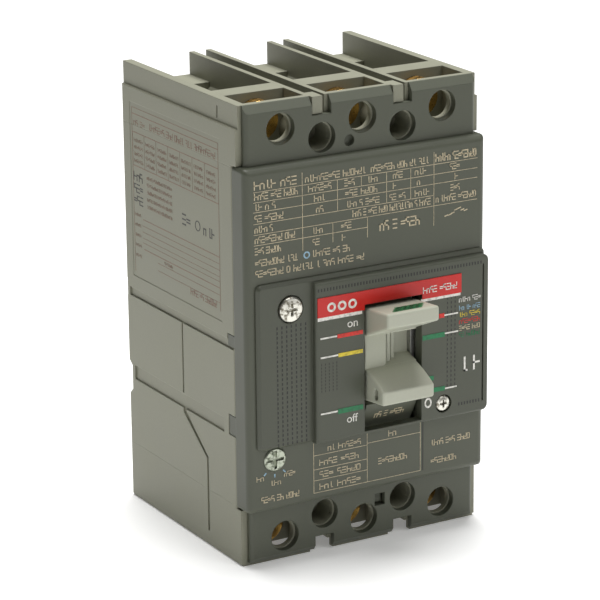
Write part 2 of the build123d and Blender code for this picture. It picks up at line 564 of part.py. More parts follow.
def frame_pins():
    """The handle's pivot pin and the fixed pin that anchors the main springs."""
    left, right = frame_x()
    pivot = rod(left - FRAME_THICKNESS, right + FRAME_THICKNESS, PIVOT_DEPTH, HANDLE_PIVOT_HEIGHT, PIVOT_PIN_R)
    anchor = rod(left - FRAME_THICKNESS, right + FRAME_THICKNESS, PIVOT_DEPTH + 10, 1.5, CRANK_PIN_R)
    return [pivot, anchor]


def link_pin():
    """The pin across the yoke's lower ends that carries the drive link and the main springs."""
    return rod(HANDLE_LEFT - LEG_THICKNESS, HANDLE_RIGHT + LEG_THICKNESS, LINK_PIN_DEPTH, LINK_PIN_Z, CRANK_PIN_R)


def main_springs():
    """Two extension springs from the anchor pin to the yoke's link pin."""
    top = (PIVOT_DEPTH + 10, 1.5 - CRANK_PIN_R)
    bottom = (LINK_PIN_DEPTH, LINK_PIN_Z + CRANK_PIN_R)
    run = math.hypot(top[0] - bottom[0], top[1] - bottom[1])
    lean = math.degrees(math.atan2(top[0] - bottom[0], top[1] - bottom[1]))
    springs = []
    for x in (HANDLE_CENTRE - 5.2, HANDLE_CENTRE + 5.2):
        length = run - 3.0
        body = Pos(0, 0, 1.5) * coil(1.9, 0.4, 1.9, length)
        springs.append(Pos(x, -bottom[0], bottom[1]) * Rot(lean, 0, 0) * body)
    return springs


def contact_shaft():
    """The insulating shaft through all poles, slotted for each contact arm, with one crank."""
    end = INNER_HALF - MOVING
    shaft = rod(-end, end, ROTOR_DEPTH, ROTOR_HEIGHT, JOURNAL_R)
    for x in POLES:
        half = CHAMBER_WIDTH / 2 - MOVING
        shaft += rod(x - half, x + half, ROTOR_DEPTH, ROTOR_HEIGHT, ROTOR_R)
    crank = side_profile([(ROTOR_DEPTH - 4, ROTOR_HEIGHT), (ROTOR_DEPTH - 2.6, ROTOR_HEIGHT - CRANK_R),
                          (ROTOR_DEPTH + 2.6, ROTOR_HEIGHT - CRANK_R), (ROTOR_DEPTH + 4, ROTOR_HEIGHT)], 3.2, 5.8)
    crank += rod(3.2, 5.8, ROTOR_DEPTH, ROTOR_HEIGHT - CRANK_R, 2.6)
    shaft += crank
    cuts = [rod(3.0, 6.0, ROTOR_DEPTH, ROTOR_HEIGHT - CRANK_R, CRANK_PIN_R)]
    cuts.append(rod(5.8, CHAMBER_WIDTH / 2, ROTOR_DEPTH, ROTOR_HEIGHT - CRANK_R, 4.2))
    for x in POLES:
        half = ARM_THICKNESS / 2 + 0.1
        cuts.append(slab(x - half, x + half, ROTOR_DEPTH - 8, ROTOR_DEPTH + ROTOR_WEB,
                         ROTOR_HEIGHT - 8, ROTOR_HEIGHT + 8))
        cuts.append(rod(x - 5.5, x + 5.5, ROTOR_DEPTH, ROTOR_HEIGHT, CONTACT_PIN_R))
    return shaft - cuts


def crank_pin():
    """The pin in the shaft's crank that the drive link's open eye goes round."""
    return rod(3.2, 8.6, ROTOR_DEPTH, ROTOR_HEIGHT - CRANK_R, CRANK_PIN_R)


def drive_link():
    """The link from the yoke's pin to the crank pin, with an open eye at the crank."""
    x0 = ARMATURE_WIDTH / 2 + 0.4
    x1 = x0 + LINK_THICKNESS
    crank_z = ROTOR_HEIGHT - CRANK_R
    width = 2.6
    run_depth = LINK_PIN_DEPTH - ROTOR_DEPTH
    run_z = LINK_PIN_Z - crank_z
    run = math.hypot(run_depth, run_z)
    across = (-run_z / run * width, run_depth / run * width)
    ends = ((ROTOR_DEPTH, crank_z), (LINK_PIN_DEPTH, LINK_PIN_Z))
    corners = [(ends[0][0] + across[0], ends[0][1] + across[1]), (ends[1][0] + across[0], ends[1][1] + across[1]),
               (ends[1][0] - across[0], ends[1][1] - across[1]), (ends[0][0] - across[0], ends[0][1] - across[1])]
    link = side_profile(corners, x0, x1)
    link += rod(x0, x1, ROTOR_DEPTH, crank_z, 3.2)
    link += rod(x0, x1, LINK_PIN_DEPTH, LINK_PIN_Z, 3.0)
    link -= rod(x0 - 1, x1 + 1, ROTOR_DEPTH, crank_z, CRANK_PIN_R + MOVING)
    return link - rod(x0 - 1, x1 + 1, LINK_PIN_DEPTH, LINK_PIN_Z, CRANK_PIN_R + RUNNING)


# ---------------------------------------------------------------- current path, one pole at a time
def contact_arm(x):
    """The moving contact arm in its slot of the shaft."""
    points = [(-13.5, 17.0), (-9.5, 17.0), (2.2, 3.5), (2.2, -3.5), (0.5, -9.5), (-3.6, -9.5), (-3.5, -2.0),
              (-13.5, 10.5)]
    outline = [(ROTOR_DEPTH + forward, ROTOR_HEIGHT + up) for forward, up in points]
    half = ARM_THICKNESS / 2
    arm = side_profile(outline, x - half, x + half)
    arm += slab(x - half, x + half, BLADE_DEPTH + STRAP_THICKNESS + CONTACT_PAD + CONTACT_GAP, ROTOR_DEPTH - 13.4,
                ROTOR_HEIGHT + 11.5, ROTOR_HEIGHT + 11.5 + CONTACT_HEIGHT)
    return arm - rod(x - half - 1, x + half + 1, ROTOR_DEPTH, ROTOR_HEIGHT, CONTACT_PIN_R)


def contact_pins():
    """Three pins that hold the contact arms in the shaft."""
    return [rod(x - 5.5, x + 5.5, ROTOR_DEPTH, ROTOR_HEIGHT, CONTACT_PIN_R) for x in POLES]


def contact_spring(x):
    """The leaf spring between the shaft's web and the contact arm."""
    front = ROTOR_DEPTH + ROTOR_WEB
    return slab(x - 2.0, x + 2.0, front - 0.4, front, ROTOR_HEIGHT - 5.4, ROTOR_HEIGHT + 5.4)


def line_terminal(x):
    """The upper copper strap: outer tail, step to the rear and fixed contact blade."""
    half = STRAP_WIDTH / 2
    top = TOP - STRAP_INSET
    step_top = CHAMBER_HALF - 0.5
    front = STRAP_DEPTH + STRAP_THICKNESS
    outline = [(STRAP_DEPTH, top), (STRAP_DEPTH, step_top), (BLADE_DEPTH, step_top), (BLADE_DEPTH, ROTOR_HEIGHT + 12.0),
               (BLADE_DEPTH + STRAP_THICKNESS, ROTOR_HEIGHT + 12.0),
               (BLADE_DEPTH + STRAP_THICKNESS, step_top - STRAP_THICKNESS), (front, step_top - STRAP_THICKNESS),
               (front, top)]
    strap = side_profile(outline, x - half, x + half)
    pad_rear = BLADE_DEPTH + STRAP_THICKNESS
    return strap + slab(x - 3.5, x + 3.5, pad_rear, pad_rear + CONTACT_PAD, ROTOR_HEIGHT + 12.0,
                        ROTOR_HEIGHT + 12.0 + CONTACT_HEIGHT)


def load_terminal(x):
    """The lower copper strap, which rises behind the bimetal as the pole's heater."""
    half = STRAP_WIDTH / 2
    bottom = STRAP_INSET - TOP
    step_low = 0.5 - CHAMBER_HALF
    front = STRAP_DEPTH + STRAP_THICKNESS
    tail = side_profile([(STRAP_DEPTH, bottom), (front, bottom), (front, step_low + STRAP_THICKNESS),
                         (HEATER_DEPTH, step_low + STRAP_THICKNESS), (HEATER_DEPTH, step_low),
                         (STRAP_DEPTH, step_low)], x - half, x + half)
    heater = slab(x - HEATER_WIDTH / 2, x + HEATER_WIDTH / 2, HEATER_DEPTH, HEATER_DEPTH + 2.0, step_low, HEATER_TOP)
    return tail + heater


def bimetal(x):
    """The strip riveted along the heater whose free end works the trip bar."""
    low = 0.5 - CHAMBER_HALF + STRAP_THICKNESS
    rear = HEATER_DEPTH + 2.0
    return slab(x - BIMETAL_WIDTH / 2, x + BIMETAL_WIDTH / 2, rear, rear + BIMETAL_THICKNESS, low, HEATER_TOP - 1.0)


def magnet_yoke(x):
    """The U-shaped steel yoke round the heater."""
    half = YOKE_WIDTH / 2
    front = ARMATURE_PIN_DEPTH - ARMATURE_THICKNESS / 2 - ARMATURE_GAP
    high = HEATER_TOP - 6.0
    low = high - YOKE_HEIGHT
    yoke = slab(x - half, x + half, REAR_WALL, front, low, high)
    inner = half - YOKE_SHEET
    hollow = slab(x - inner, x + inner, HEATER_DEPTH - FIT, front + 1, low - 1, high + 1)
    window = slab(x - inner, x + inner, REAR_WALL + YOKE_SHEET, HEATER_DEPTH, low - 1, high + 1)
    return yoke - [hollow, window]


def armature(x):
    """The hinged steel flap that the magnet yoke pulls in on a short circuit."""
    half = ARMATURE_WIDTH / 2
    mid = ARMATURE_THICKNESS / 2
    flap = slab(x - half, x + half, ARMATURE_PIN_DEPTH - mid, ARMATURE_PIN_DEPTH + mid, ARMATURE_PIN_Z,
                ARMATURE_PIN_Z + ARMATURE_LENGTH)
    flap += rod(x - half, x + half, ARMATURE_PIN_DEPTH, ARMATURE_PIN_Z, ARMATURE_PIN_R + 1.0)
    return flap - rod(x - half - 1, x + half + 1, ARMATURE_PIN_DEPTH, ARMATURE_PIN_Z, ARMATURE_PIN_R + RUNNING)


def armature_pins():
    """Three pins across the chambers, one under each armature."""
    half = CHAMBER_WIDTH / 2 + 1.5
    return [rod(x - half, x + half, ARMATURE_PIN_DEPTH, ARMATURE_PIN_Z, ARMATURE_PIN_R) for x in POLES]


def braid(x):
    """The flexible copper braid from the heater's top to the tail of the contact arm."""
    start = (x - 2.0, -(HEATER_DEPTH + 1.0), HEATER_TOP)
    finish = (x - 2.0, -(ROTOR_DEPTH - 1.6), ROTOR_HEIGHT - 9.5 - FIT)
    return side_profile([(HEATER_DEPTH, HEATER_TOP), (HEATER_DEPTH + 2.0, HEATER_TOP),
                         (-finish[1] - 3.0, finish[2] - 1.6), (-finish[1] + 1.6, finish[2] - 1.6),
                         (-finish[1] + 1.6, finish[2]), (-finish[1] - 3.6, finish[2]),
                         (-start[1] - 1.0, HEATER_TOP + 2.2)], x - 2.0, x + 2.0)


def arc_plates(x):
    """The steel splitter plates of one arc chute, notched for the contact arm."""
    half = CHAMBER_WIDTH / 2 - FIT - CHEEK_THICKNESS
    top = CHAMBER_HALF - 0.5 - STRAP_THICKNESS - 0.7
    plates = []
    for index in range(PLATE_COUNT):
        rear = CHUTE_REAR + index * PLATE_PITCH
        plate = slab(x - half, x + half, rear, rear + PLATE_THICKNESS, PLATE_BOTTOM, top)
        notch = slab(x - 3.6, x + 3.6, rear - 1, rear + 2, PLATE_BOTTOM - 1, PLATE_BOTTOM + 7.5)
        plates.append(plate - notch)
    return plates


def arc_cheeks(x):
    """The two fibre cheeks that hold one pole's splitter plates."""
    half = CHAMBER_WIDTH / 2 - FIT
    top = CHAMBER_HALF - 0.5 - STRAP_THICKNESS - 0.7
    front = CHUTE_REAR + (PLATE_COUNT - 1) * PLATE_PITCH + PLATE_THICKNESS + 0.5
    left = slab(x - half, x - half + CHEEK_THICKNESS, CHUTE_REAR - 0.5, front, PLATE_BOTTOM - 1, top)
    right = slab(x + half - CHEEK_THICKNESS, x + half, CHUTE_REAR - 0.5, front, PLATE_BOTTOM - 1, top)
    return [left, right]


# ---------------------------------------------------------------- trip gear
def trip_bar():
    """The insulating bar across the poles with one paddle per pole and the test button's lever."""
    end = INNER_HALF + 1.8
    depth = TRIP_BAR_DEPTH
    bar = rod(-end, end, depth, TRIP_BAR_Z, TRIP_JOURNAL_R)
    inner = INNER_HALF - MOVING
    bar += rod(-inner, inner, depth, TRIP_BAR_Z, TRIP_BAR_R)
    paddle_right = HANDLE_LEFT - LEG_THICKNESS - 0.85
    for x in POLES:
        bar += side_profile([(depth - 1.2, TRIP_BAR_Z), (depth + 1.2, TRIP_BAR_Z), (depth - 9.0, TRIP_BAR_Z + 11.0),
                             (depth - 11.0, TRIP_BAR_Z + 10.0)], x + 1.2 - CHAMBER_WIDTH / 2, x + paddle_right)
    lever = slab(PORT_X - 1.5, PORT_X + 1.5, depth - 1.0, depth + 4.5 - MOVING, TRIP_BAR_Z - TRIP_LEVER, TRIP_BAR_Z)
    lever -= slab(PORT_X - 2, PORT_X + 2, depth - 2, depth + 2.2, TRIP_BAR_Z - TRIP_LEVER - 1, TRIP_BAR_Z - 3.5)
    return bar + lever


def trip_spring():
    """The torsion coil round the trip bar's right-hand end."""
    turns = coil(TRIP_BAR_R + 0.75, 0.35, 1.1, 6.6)
    return Pos(POLE_PITCH - 3.4, -TRIP_BAR_DEPTH, TRIP_BAR_Z) * Rot(0, 90, 0) * turns


def trip_button():
    """The push-to-trip plunger behind the square port, with its arm to the trip bar's lever."""
    half_w = PORT_WIDTH / 2 - MOVING
    half_h = PORT_HEIGHT / 2 - MOVING
    rear = END_RIM - FRONT_LIP - 4.5
    head = slab(PORT_X - half_w, PORT_X + half_w, rear, END_FACE - BUTTON_RECESS, PORT_Z - half_h, PORT_Z + half_h)
    head = fillet(head.faces().sort_by(Axis.Y)[0].edges(), 0.4)
    lever_z = TRIP_BAR_Z - TRIP_LEVER
    arm = slab(PORT_X - 1.0, PORT_X + 1.0, rear, rear + 2.0, PORT_Z, lever_z + 2.0)
    finger = slab(PORT_X - 1.0, PORT_X + 1.0, TRIP_BAR_DEPTH + 4.5, rear + 1.0, lever_z, lever_z + 2.0)
    return head + arm + finger


def button_spring():
    """The compression spring behind the plunger, standing on the crossbar."""
    rear = END_RIM - FRONT_LIP - 4.5
    turns = coil(1.1, 0.22, 1.1, rear - CROSSBAR_FRONT - 0.6)
    return Pos(PORT_X, -CROSSBAR_FRONT - 0.3, PORT_Z + 0.2) * Rot(90, 0, 0) * turns


def trip_dial():
    """The cross-slotted selector below the front plate, with its stem and eccentric tip."""
    face = ACCESSORY_FACE + 0.5
    head = bore(DIAL_X, DIAL_Z, ACCESSORY_FACE - 1.8, face, DIAL_R)
    head = chamfer(head.edges().sort_by(Axis.Y)[0], 0.4)
    stem = bore(DIAL_X, DIAL_Z, CASE_DEPTH - 4, ACCESSORY_FACE - 1, DIAL_STEM_R)
    tip = bore(DIAL_X, DIAL_Z, CASE_DEPTH - 6.5, CASE_DEPTH - 4, 1.0)
    arrow = slab(DIAL_X - 0.45, DIAL_X + 0.45, face - 0.9, face + 1, DIAL_Z - 2.6, DIAL_Z + 2.6)
    arrow += slab(DIAL_X - 2.6, DIAL_X + 2.6, face - 0.9, face + 1, DIAL_Z - 0.45, DIAL_Z + 0.45)
    return head + stem + tip - arrow


# ---------------------------------------------------------------- fasteners
def terminal_places():
    """X and Z of the six terminal screws."""
    return [(x, z) for z in (TERMINAL_Z, -TERMINAL_Z) for x in POLES]


def terminal_screws():
    """Six clamp screws, heads in the front pockets."""
    tip = STRAP_DEPTH + STRAP_THICKNESS + CLAMP_GAP + PAD_THICKNESS
    head_rear = CROSSBAR_FRONT + FIT
    face = head_rear + SCREW_HEAD_LENGTH
    screws = []
    for x, z in terminal_places():
        head = bore(x, z, head_rear, face, SCREW_HEAD_R)
        head = fillet(head.edges().sort_by(Axis.Y)[0], 0.8)
        screws.append(head + bore(x, z, tip, head_rear, SCREW_R) - cross_slot(x, z, face, 6.4, 1.2, 1.8))
    return screws


def terminal_nuts():
    """Six square nuts moulded into the crossbars."""
    rear = CROSSBAR_REAR + 1
    half = NUT_SIDE / 2
    nuts = []
    for x, z in terminal_places():
        nut = slab(x - half, x + half, rear, rear + NUT_THICKNESS, z - half, z + half)
        nuts.append(nut - bore(x, z, rear - 1, rear + NUT_THICKNESS + 1, SCREW_R))
    return nuts


def pressure_pads():
    """Six clamp pads on the screws' tips."""
    rear = STRAP_DEPTH + STRAP_THICKNESS + CLAMP_GAP
    half = PAD_SIDE / 2
    return [slab(x - half, x + half, rear, rear + PAD_THICKNESS, z - half, z + half) for x, z in terminal_places()]


def cover_screw():
    """The large cross-slotted screw in the front plate's left column."""
    seat = COLUMN_FACE - 0.8
    face = seat + 1.8
    head = bore(COVER_SCREW_X, COVER_SCREW_Z, seat, face, COVER_SCREW_HEAD_R)
    head = fillet(head.edges().sort_by(Axis.Y)[0], 0.7)
    shank = bore(COVER_SCREW_X, COVER_SCREW_Z, CASE_DEPTH - 4.5, seat, 1.75)
    return head + shank - cross_slot(COVER_SCREW_X, COVER_SCREW_Z, face, 5.4, 1.0, 1.0)


def small_cover_screw():
    """The small cross-recessed screw in the front plate's lower right corner."""
    seat = PANEL_FACE - 1.5
    face = seat + 1.6
    head = bore(SMALL_SCREW_X, SMALL_SCREW_Z, seat, face, SMALL_SCREW_HEAD_R)
    head = fillet(head.edges().sort_by(Axis.Y)[0], 0.6)
    shank = bore(SMALL_SCREW_X, SMALL_SCREW_Z, CASE_DEPTH - 4.5, seat, 1.2)
    return head + shank - cross_slot(SMALL_SCREW_X, SMALL_SCREW_Z, face, 2.9, 0.7, 0.9)


def lid_screws():
    """Four screws that hold the inner cover to the case, under the accessory cover."""
    screws = []
    for x in WALLS:
        for z in (-LID_SCREW_Z, LID_SCREW_Z):
            head = bore(x, z, INNER_FACE, INNER_FACE + 1.6, 2.7)
            shank = bore(x, z, CASE_DEPTH - 14, INNER_FACE, 1.4)
            screws.append(head + shank - cross_slot(x, z, INNER_FACE + 1.6, 3.4, 0.7, 0.9))
    return screws


# ---------------------------------------------------------------- build and write
def solids_of(shape):
    """The separate solids of a shape or of a list of shapes."""
    return [solid for each in (shape if isinstance(shape, list) else [shape]) for solid in each.solids()]


def write(node, shape):
    """Write one node, with a list of separate solids kept apart in one file."""
    if isinstance(shape, list):
        shape = Compound(children=shape)
    export_step(shape, os.path.join("parts", node + ".step"))


def main():
    """Build every node of the breaker."""
    os.makedirs("parts", exist_ok=True)
    for node, shape in {**case_nodes(), **cover_nodes()}.items():
        write(node, shape)
    single = {
        "accessory_cover": accessory_cover,
        "escutcheon": escutcheon, "colour_band": colour_band, "toggle_handle": toggle_handle,
        "rating_apron": rating_apron, "handle_yoke": handle_yoke, "mechanism_frame": mechanism_frame,
        "frame_pins": frame_pins, "link_pin": link_pin, "main_springs": main_springs,
        "contact_shaft": contact_shaft, "crank_pin": crank_pin, "drive_link": drive_link,
        "contact_pins": contact_pins, "armature_pins": armature_pins, "trip_bar": trip_bar,
        "trip_spring": trip_spring, "trip_button": trip_button, "button_spring": button_spring,
        "trip_dial": trip_dial, "terminal_screws": terminal_screws, "terminal_nuts": terminal_nuts,
        "pressure_pads": pressure_pads, "cover_screw": cover_screw, "small_cover_screw": small_cover_screw,
        "lid_screws": lid_screws,
    }
    for node, make in single.items():
        write(node, make())
    groups = {"arc_plates": arc_plates, "arc_cheeks": arc_cheeks, "bimetals": bimetal, "magnet_yokes": magnet_yoke,
              "braids": braid}
    for node, make in groups.items():
        write(node, [solid for x in POLES for solid in solids_of(make(x))])
    per_pole = {"line_terminal": line_terminal, "load_terminal": load_terminal, "contact_arm": contact_arm,
                "contact_spring": contact_spring, "armature": armature}
    for node, make in per_pole.items():
        for pole, x in enumerate(POLES, start=1):
            write(f"{node}_{pole}", make(x))


main()
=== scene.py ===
"""Looks of the moulded case circuit breaker: finishes, printed marks, screws, lights and camera."""

import logging
import math
from dataclasses import dataclass, field
from enum import Enum

import bmesh
import bpy
from mathutils import Matrix, Vector


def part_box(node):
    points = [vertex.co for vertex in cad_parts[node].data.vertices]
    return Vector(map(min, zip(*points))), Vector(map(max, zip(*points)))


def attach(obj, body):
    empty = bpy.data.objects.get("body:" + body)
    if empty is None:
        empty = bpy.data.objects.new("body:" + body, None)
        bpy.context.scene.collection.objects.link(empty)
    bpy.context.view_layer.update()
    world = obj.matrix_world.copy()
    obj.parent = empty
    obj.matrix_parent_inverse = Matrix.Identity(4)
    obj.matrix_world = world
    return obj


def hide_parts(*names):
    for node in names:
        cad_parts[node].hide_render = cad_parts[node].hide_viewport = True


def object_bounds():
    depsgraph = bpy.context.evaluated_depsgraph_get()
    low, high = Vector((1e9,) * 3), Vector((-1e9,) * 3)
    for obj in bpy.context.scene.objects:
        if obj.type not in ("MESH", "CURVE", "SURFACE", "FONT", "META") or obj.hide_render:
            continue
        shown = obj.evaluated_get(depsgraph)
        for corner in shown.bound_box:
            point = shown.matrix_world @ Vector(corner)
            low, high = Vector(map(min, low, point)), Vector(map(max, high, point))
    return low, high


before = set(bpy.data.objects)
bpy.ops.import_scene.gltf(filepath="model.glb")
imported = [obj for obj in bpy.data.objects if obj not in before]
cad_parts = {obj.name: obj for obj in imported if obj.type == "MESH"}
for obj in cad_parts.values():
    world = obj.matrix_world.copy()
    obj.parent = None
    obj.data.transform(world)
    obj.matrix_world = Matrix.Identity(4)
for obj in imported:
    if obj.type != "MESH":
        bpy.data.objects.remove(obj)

CAD_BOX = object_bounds()
MM = 0.001
log = logging.getLogger("breaker")
Stroke = tuple[float, float, float, float]
Colour = tuple[float, float, float]


# ---------------------------------------------------------------- shader tools
def linear(colour: Colour) -> tuple[float, float, float, float]:
    """Turns a colour of 0 to 255 as a screen shows it into the linear colour a shader takes.

    Args:
        colour: red, green and blue from 0 to 255.

    Returns:
        Linear red, green and blue with an alpha of 1.
    """
    parts = []
    for part in colour:
        share = part / 255
        parts.append(((share + 0.055) / 1.055) ** 2.4 if share > 0.04045 else share / 12.92)
    return (*parts, 1.0)


class Value:
    """A number socket of a shader, on which arithmetic adds Math nodes."""

    def __init__(self, graph: "Graph", socket: bpy.types.NodeSocket) -> None:
        """Keeps the graph and the socket."""
        self.graph = graph
        self.socket = socket

    def _math(self, operation: str, *terms: "Value | float") -> "Value":
        """Adds one Math node on the given terms."""
        made = self.graph.node("ShaderNodeMath", {"operation": operation}, dict(enumerate(terms)))
        return Value(self.graph, made.outputs[0])

    def __add__(self, other: "Value | float") -> "Value":
        """Adds."""
        return self._math("ADD", self, other)

    __radd__ = __add__

    def __mul__(self, other: "Value | float") -> "Value":
        """Multiplies."""
        return self._math("MULTIPLY", self, other)

    __rmul__ = __mul__

    def __sub__(self, other: "Value | float") -> "Value":
        """Subtracts other from this."""
        return self._math("SUBTRACT", self, other)

    def __rsub__(self, other: "Value | float") -> "Value":
        """Subtracts this from other."""
        return self._math("SUBTRACT", other, self)

    def __gt__(self, other: "Value | float") -> "Value":
        """Gives 1 where this is the greater."""
        return self._math("GREATER_THAN", self, other)

    def clamp(self) -> "Value":
        """Limits this to 0 and 1."""
        return self._math("MINIMUM", self._math("MAXIMUM", self, 0.0), 1.0)

    def smooth(self, low: float, high: float) -> "Value":
        """Rises softly from 0 at low to 1 at high."""
        made = self.graph.node("ShaderNodeMapRange", {"interpolation_type": "SMOOTHSTEP"},
                               {"Value": self, "From Min": low, "From Max": high})
        return Value(self.graph, made.outputs[0])


class Graph:
    """The node tree of one material, with its coordinates ready."""

    def __init__(self, name: str) -> None:
        """Makes an empty material.

        Args:
            name: the material's name.
        """
        self.material = bpy.data.materials.new(name)
        self.material.use_nodes = True
        self.tree = self.material.node_tree
        self.tree.nodes.clear()
        self.place = self.node("ShaderNodeTexCoord").outputs["Object"]

    def node(self, kind: str, settings: dict | None = None, inputs: dict | None = None) -> bpy.types.Node:
        """Adds a node.

        Args:
            kind: the node's type.
            settings: properties that are set first, with a ramp's stops under "stops".
            inputs: socket name or index to a number, a colour, a Value or a socket.

        Returns:
            The new node.
        """
        made = self.tree.nodes.new(kind)
        for name, setting in (settings or {}).items():
            if name == "stops":
                for stop, (where, colour) in zip(made.color_ramp.elements, setting):
                    stop.position = where
                    stop.color = colour
            else:
                setattr(made, name, setting)
        for name, given in (inputs or {}).items():
            socket = made.inputs[name]
            if isinstance(given, Value):
                given = given.socket
            if isinstance(given, bpy.types.NodeSocket):
                self.tree.links.new(given, socket)
            else:
                socket.default_value = given
        return made

    def noise(self, scale: float, detail: float = 2.0, stretch: Colour = (1.0, 1.0, 1.0)) -> Value:
        """Gives a soft cloud pattern.

        Args:
            scale: blotches per metre.
            detail: how many finer layers it has.
            stretch: how the pattern is scaled along each axis.

        Returns:
            The pattern, about 0 to 1.
        """
        place = self.node("ShaderNodeMapping", None, {"Vector": self.place, "Scale": stretch}).outputs[0]
        made = self.node("ShaderNodeTexNoise", None, {"Vector": place, "Scale": scale, "Detail": detail})
        return Value(self, made.outputs[0])

    def mix(self, share: Value | float, low: object, high: object) -> bpy.types.NodeSocket:
        """Blends two colours.

        Args:
            share: 0 for low and 1 for high.
            low: a colour or socket.
            high: a colour or socket.

        Returns:
            The blended colour's socket.
        """
        made = self.node("ShaderNodeMix", {"data_type": "RGBA"}, {0: share, 6: low, 7: high})
        return made.outputs[2]

    def rounded(self, radius: float) -> tuple[bpy.types.NodeSocket, Value]:
        """Rounds sharp edges in shading.

        Args:
            radius: the edge radius in metres.

        Returns:
            The rounded normal and a mask that is high on edges.
        """
        soft = self.node("ShaderNodeBevel", {"samples": 4}, {"Radius": radius}).outputs[0]
        flat = self.node("ShaderNodeNewGeometry").outputs["Normal"]
        along = self.node("ShaderNodeVectorMath", {"operation": "DOT_PRODUCT"}, {0: soft, 1: flat})
        return soft, 1.0 - Value(self, along.outputs["Value"])

    def finish(self, fixed: dict, changing: dict) -> bpy.types.Material:
        """Closes the tree with its surface shader.

        Args:
            fixed: socket name to the value that holds all over.
            changing: socket name to a link.

        Returns:
            The material.
        """
        shader = self.node("ShaderNodeBsdfPrincipled", None, {**fixed, **changing})
        self.node("ShaderNodeOutputMaterial", None, {"Surface": shader.outputs[0]})
        return self.material


# ---------------------------------------------------------------- finishes
@dataclass(frozen=True)
class MouldedPlastic:
    """A filled thermoset or nylon with a spark-eroded skin and paler edges, partly wear and partly painted highlight.
    """

    name: str
    colour: Colour
    roughness: float = 0.5
    mottle: float = 0.08
    grain: float = 0.16
    edge_wear_and_highlight: float = 0.5
    edge: float = 0.35

    def material(self) -> bpy.types.Material:
        """Makes the material."""
        graph = Graph(self.name)
        cloud = graph.noise(70.0, 4.0)
        speck = graph.noise(1500.0, 2.0)
        drift = graph.noise(16.0, 2.0)
        share = (cloud * 0.45 + speck * 0.35 + drift * 0.35 - 0.08).clamp()
        low = linear(tuple(part * (1 - self.mottle) for part in self.colour))
        high = linear(tuple(min(255.0, part * (1 + self.mottle)) for part in self.colour))
        # Paler edge colour: partly real wear, partly painted highlight along edges that catch the light.
        rubbed_and_highlit = linear(tuple(min(255.0, part * 1.16 + 14) for part in self.colour))
        soft, rim = graph.rounded(self.edge * MM)
        skin = graph.mix(share, low, high)
        # Edge mask for the paler colour: partly wear, partly painted highlight.
        wear_and_highlight_mask = (rim.smooth(0.015, 0.2) * (0.55 + cloud * 0.6) * self.edge_wear_and_highlight).clamp()
        colour = graph.mix(wear_and_highlight_mask, skin, rubbed_and_highlit)
        rough = (self.roughness + (cloud - 0.5) * 0.16 + (speck - 0.5) * 0.08).clamp()
        height = speck * 0.6 + graph.noise(3200.0, 1.0) * 0.4
        bump = graph.node("ShaderNodeBump", None, {"Strength": self.grain, "Distance": 0.00006, "Height": height,
                                                   "Normal": soft})
        return graph.finish({"Specular IOR Level": 0.42}, {"Base Color": colour, "Roughness": rough,
                                                          "Normal": bump.outputs[0]})


@dataclass(frozen=True)
class Metal:
    """A plated, brushed or stamped metal with blotches of tarnish and paler edges; on the dial nickel the blotches
    are painted dark-green shading, and the paler edges are partly wear, partly painted highlight.
    """

    name: str
    colour: Colour
    tarnish_and_shade_colour: Colour
    roughness: float = 0.32
    cover: float = 0.35
    blotches: float = 420.0
    brush: Colour = (1.0, 1.0, 1.0)
    edge: float = 0.2

    def material(self) -> bpy.types.Material:
        """Makes the material."""
        graph = Graph(self.name)
        blotch = graph.noise(self.blotches, 3.0)
        lines = graph.noise(900.0, 2.0, self.brush)
        soft, rim = graph.rounded(self.edge * MM)
        # Blotch mask: real tarnish on most metals, painted dark-green shading on the dial.
        tarnish_and_shade_mask = (blotch.smooth(0.46, 0.68) * self.cover).clamp()
        colour = graph.mix(tarnish_and_shade_mask, linear(self.colour), linear(self.tarnish_and_shade_colour))
        # Edges mixed toward near-white: partly wear, partly painted highlight.
        colour = graph.mix((rim.smooth(0.02, 0.3) * 0.5).clamp(), colour, linear((242, 240, 232)))
        rough = (self.roughness + tarnish_and_shade_mask * 0.3 + (lines - 0.5) * 0.2).clamp()
        bump = graph.node("ShaderNodeBump", None, {"Strength": 0.12, "Distance": 0.00004, "Height": lines,
                                                   "Normal": soft})
        return graph.finish({}, {"Base Color": colour, "Roughness": rough, "Normal": bump.outputs[0],
                                 "Metallic": (1.0 - tarnish_and_shade_mask * 0.35).clamp()})


@dataclass(frozen=True)
class Ink:
    """A printed ink, slightly uneven in cover."""

    name: str
    colour: Colour
    roughness: float = 0.45
    uneven: float = 0.18

    def material(self) -> bpy.types.Material:
        """Makes the material."""
        graph = Graph(self.name)
        cover = graph.noise(1100.0, 3.0)
        thin = linear(tuple(part * (1 - self.uneven) for part in self.colour))
        full = linear(self.colour)
        rough = (self.roughness + (cover - 0.5) * 0.2).clamp()
        return graph.finish({}, {"Base Color": graph.mix(cover.smooth(0.3, 0.6), thin, full), "Roughness": rough})


@dataclass(frozen=True)
class Fibre:
    """A pressed fibre sheet with a fine weave."""

    name: str
    colour: Colour

    def material(self) -> bpy.types.Material:
        """Makes the material."""
        graph = Graph(self.name)
        weave = graph.noise(700.0, 1.0, (1.0, 1.0, 6.0)) * graph.noise(700.0, 1.0, (1.0, 6.0, 1.0))
        low = linear(tuple(part * 0.8 for part in self.colour))
        bump = graph.node("ShaderNodeBump", None, {"Strength": 0.3, "Distance": 0.00008, "Height": weave})
        tone = graph.mix(weave.smooth(0.1, 0.45), low, linear(self.colour))
        return graph.finish({"Roughness": 0.7}, {"Base Color": tone, "Normal": bump.outputs[0]})


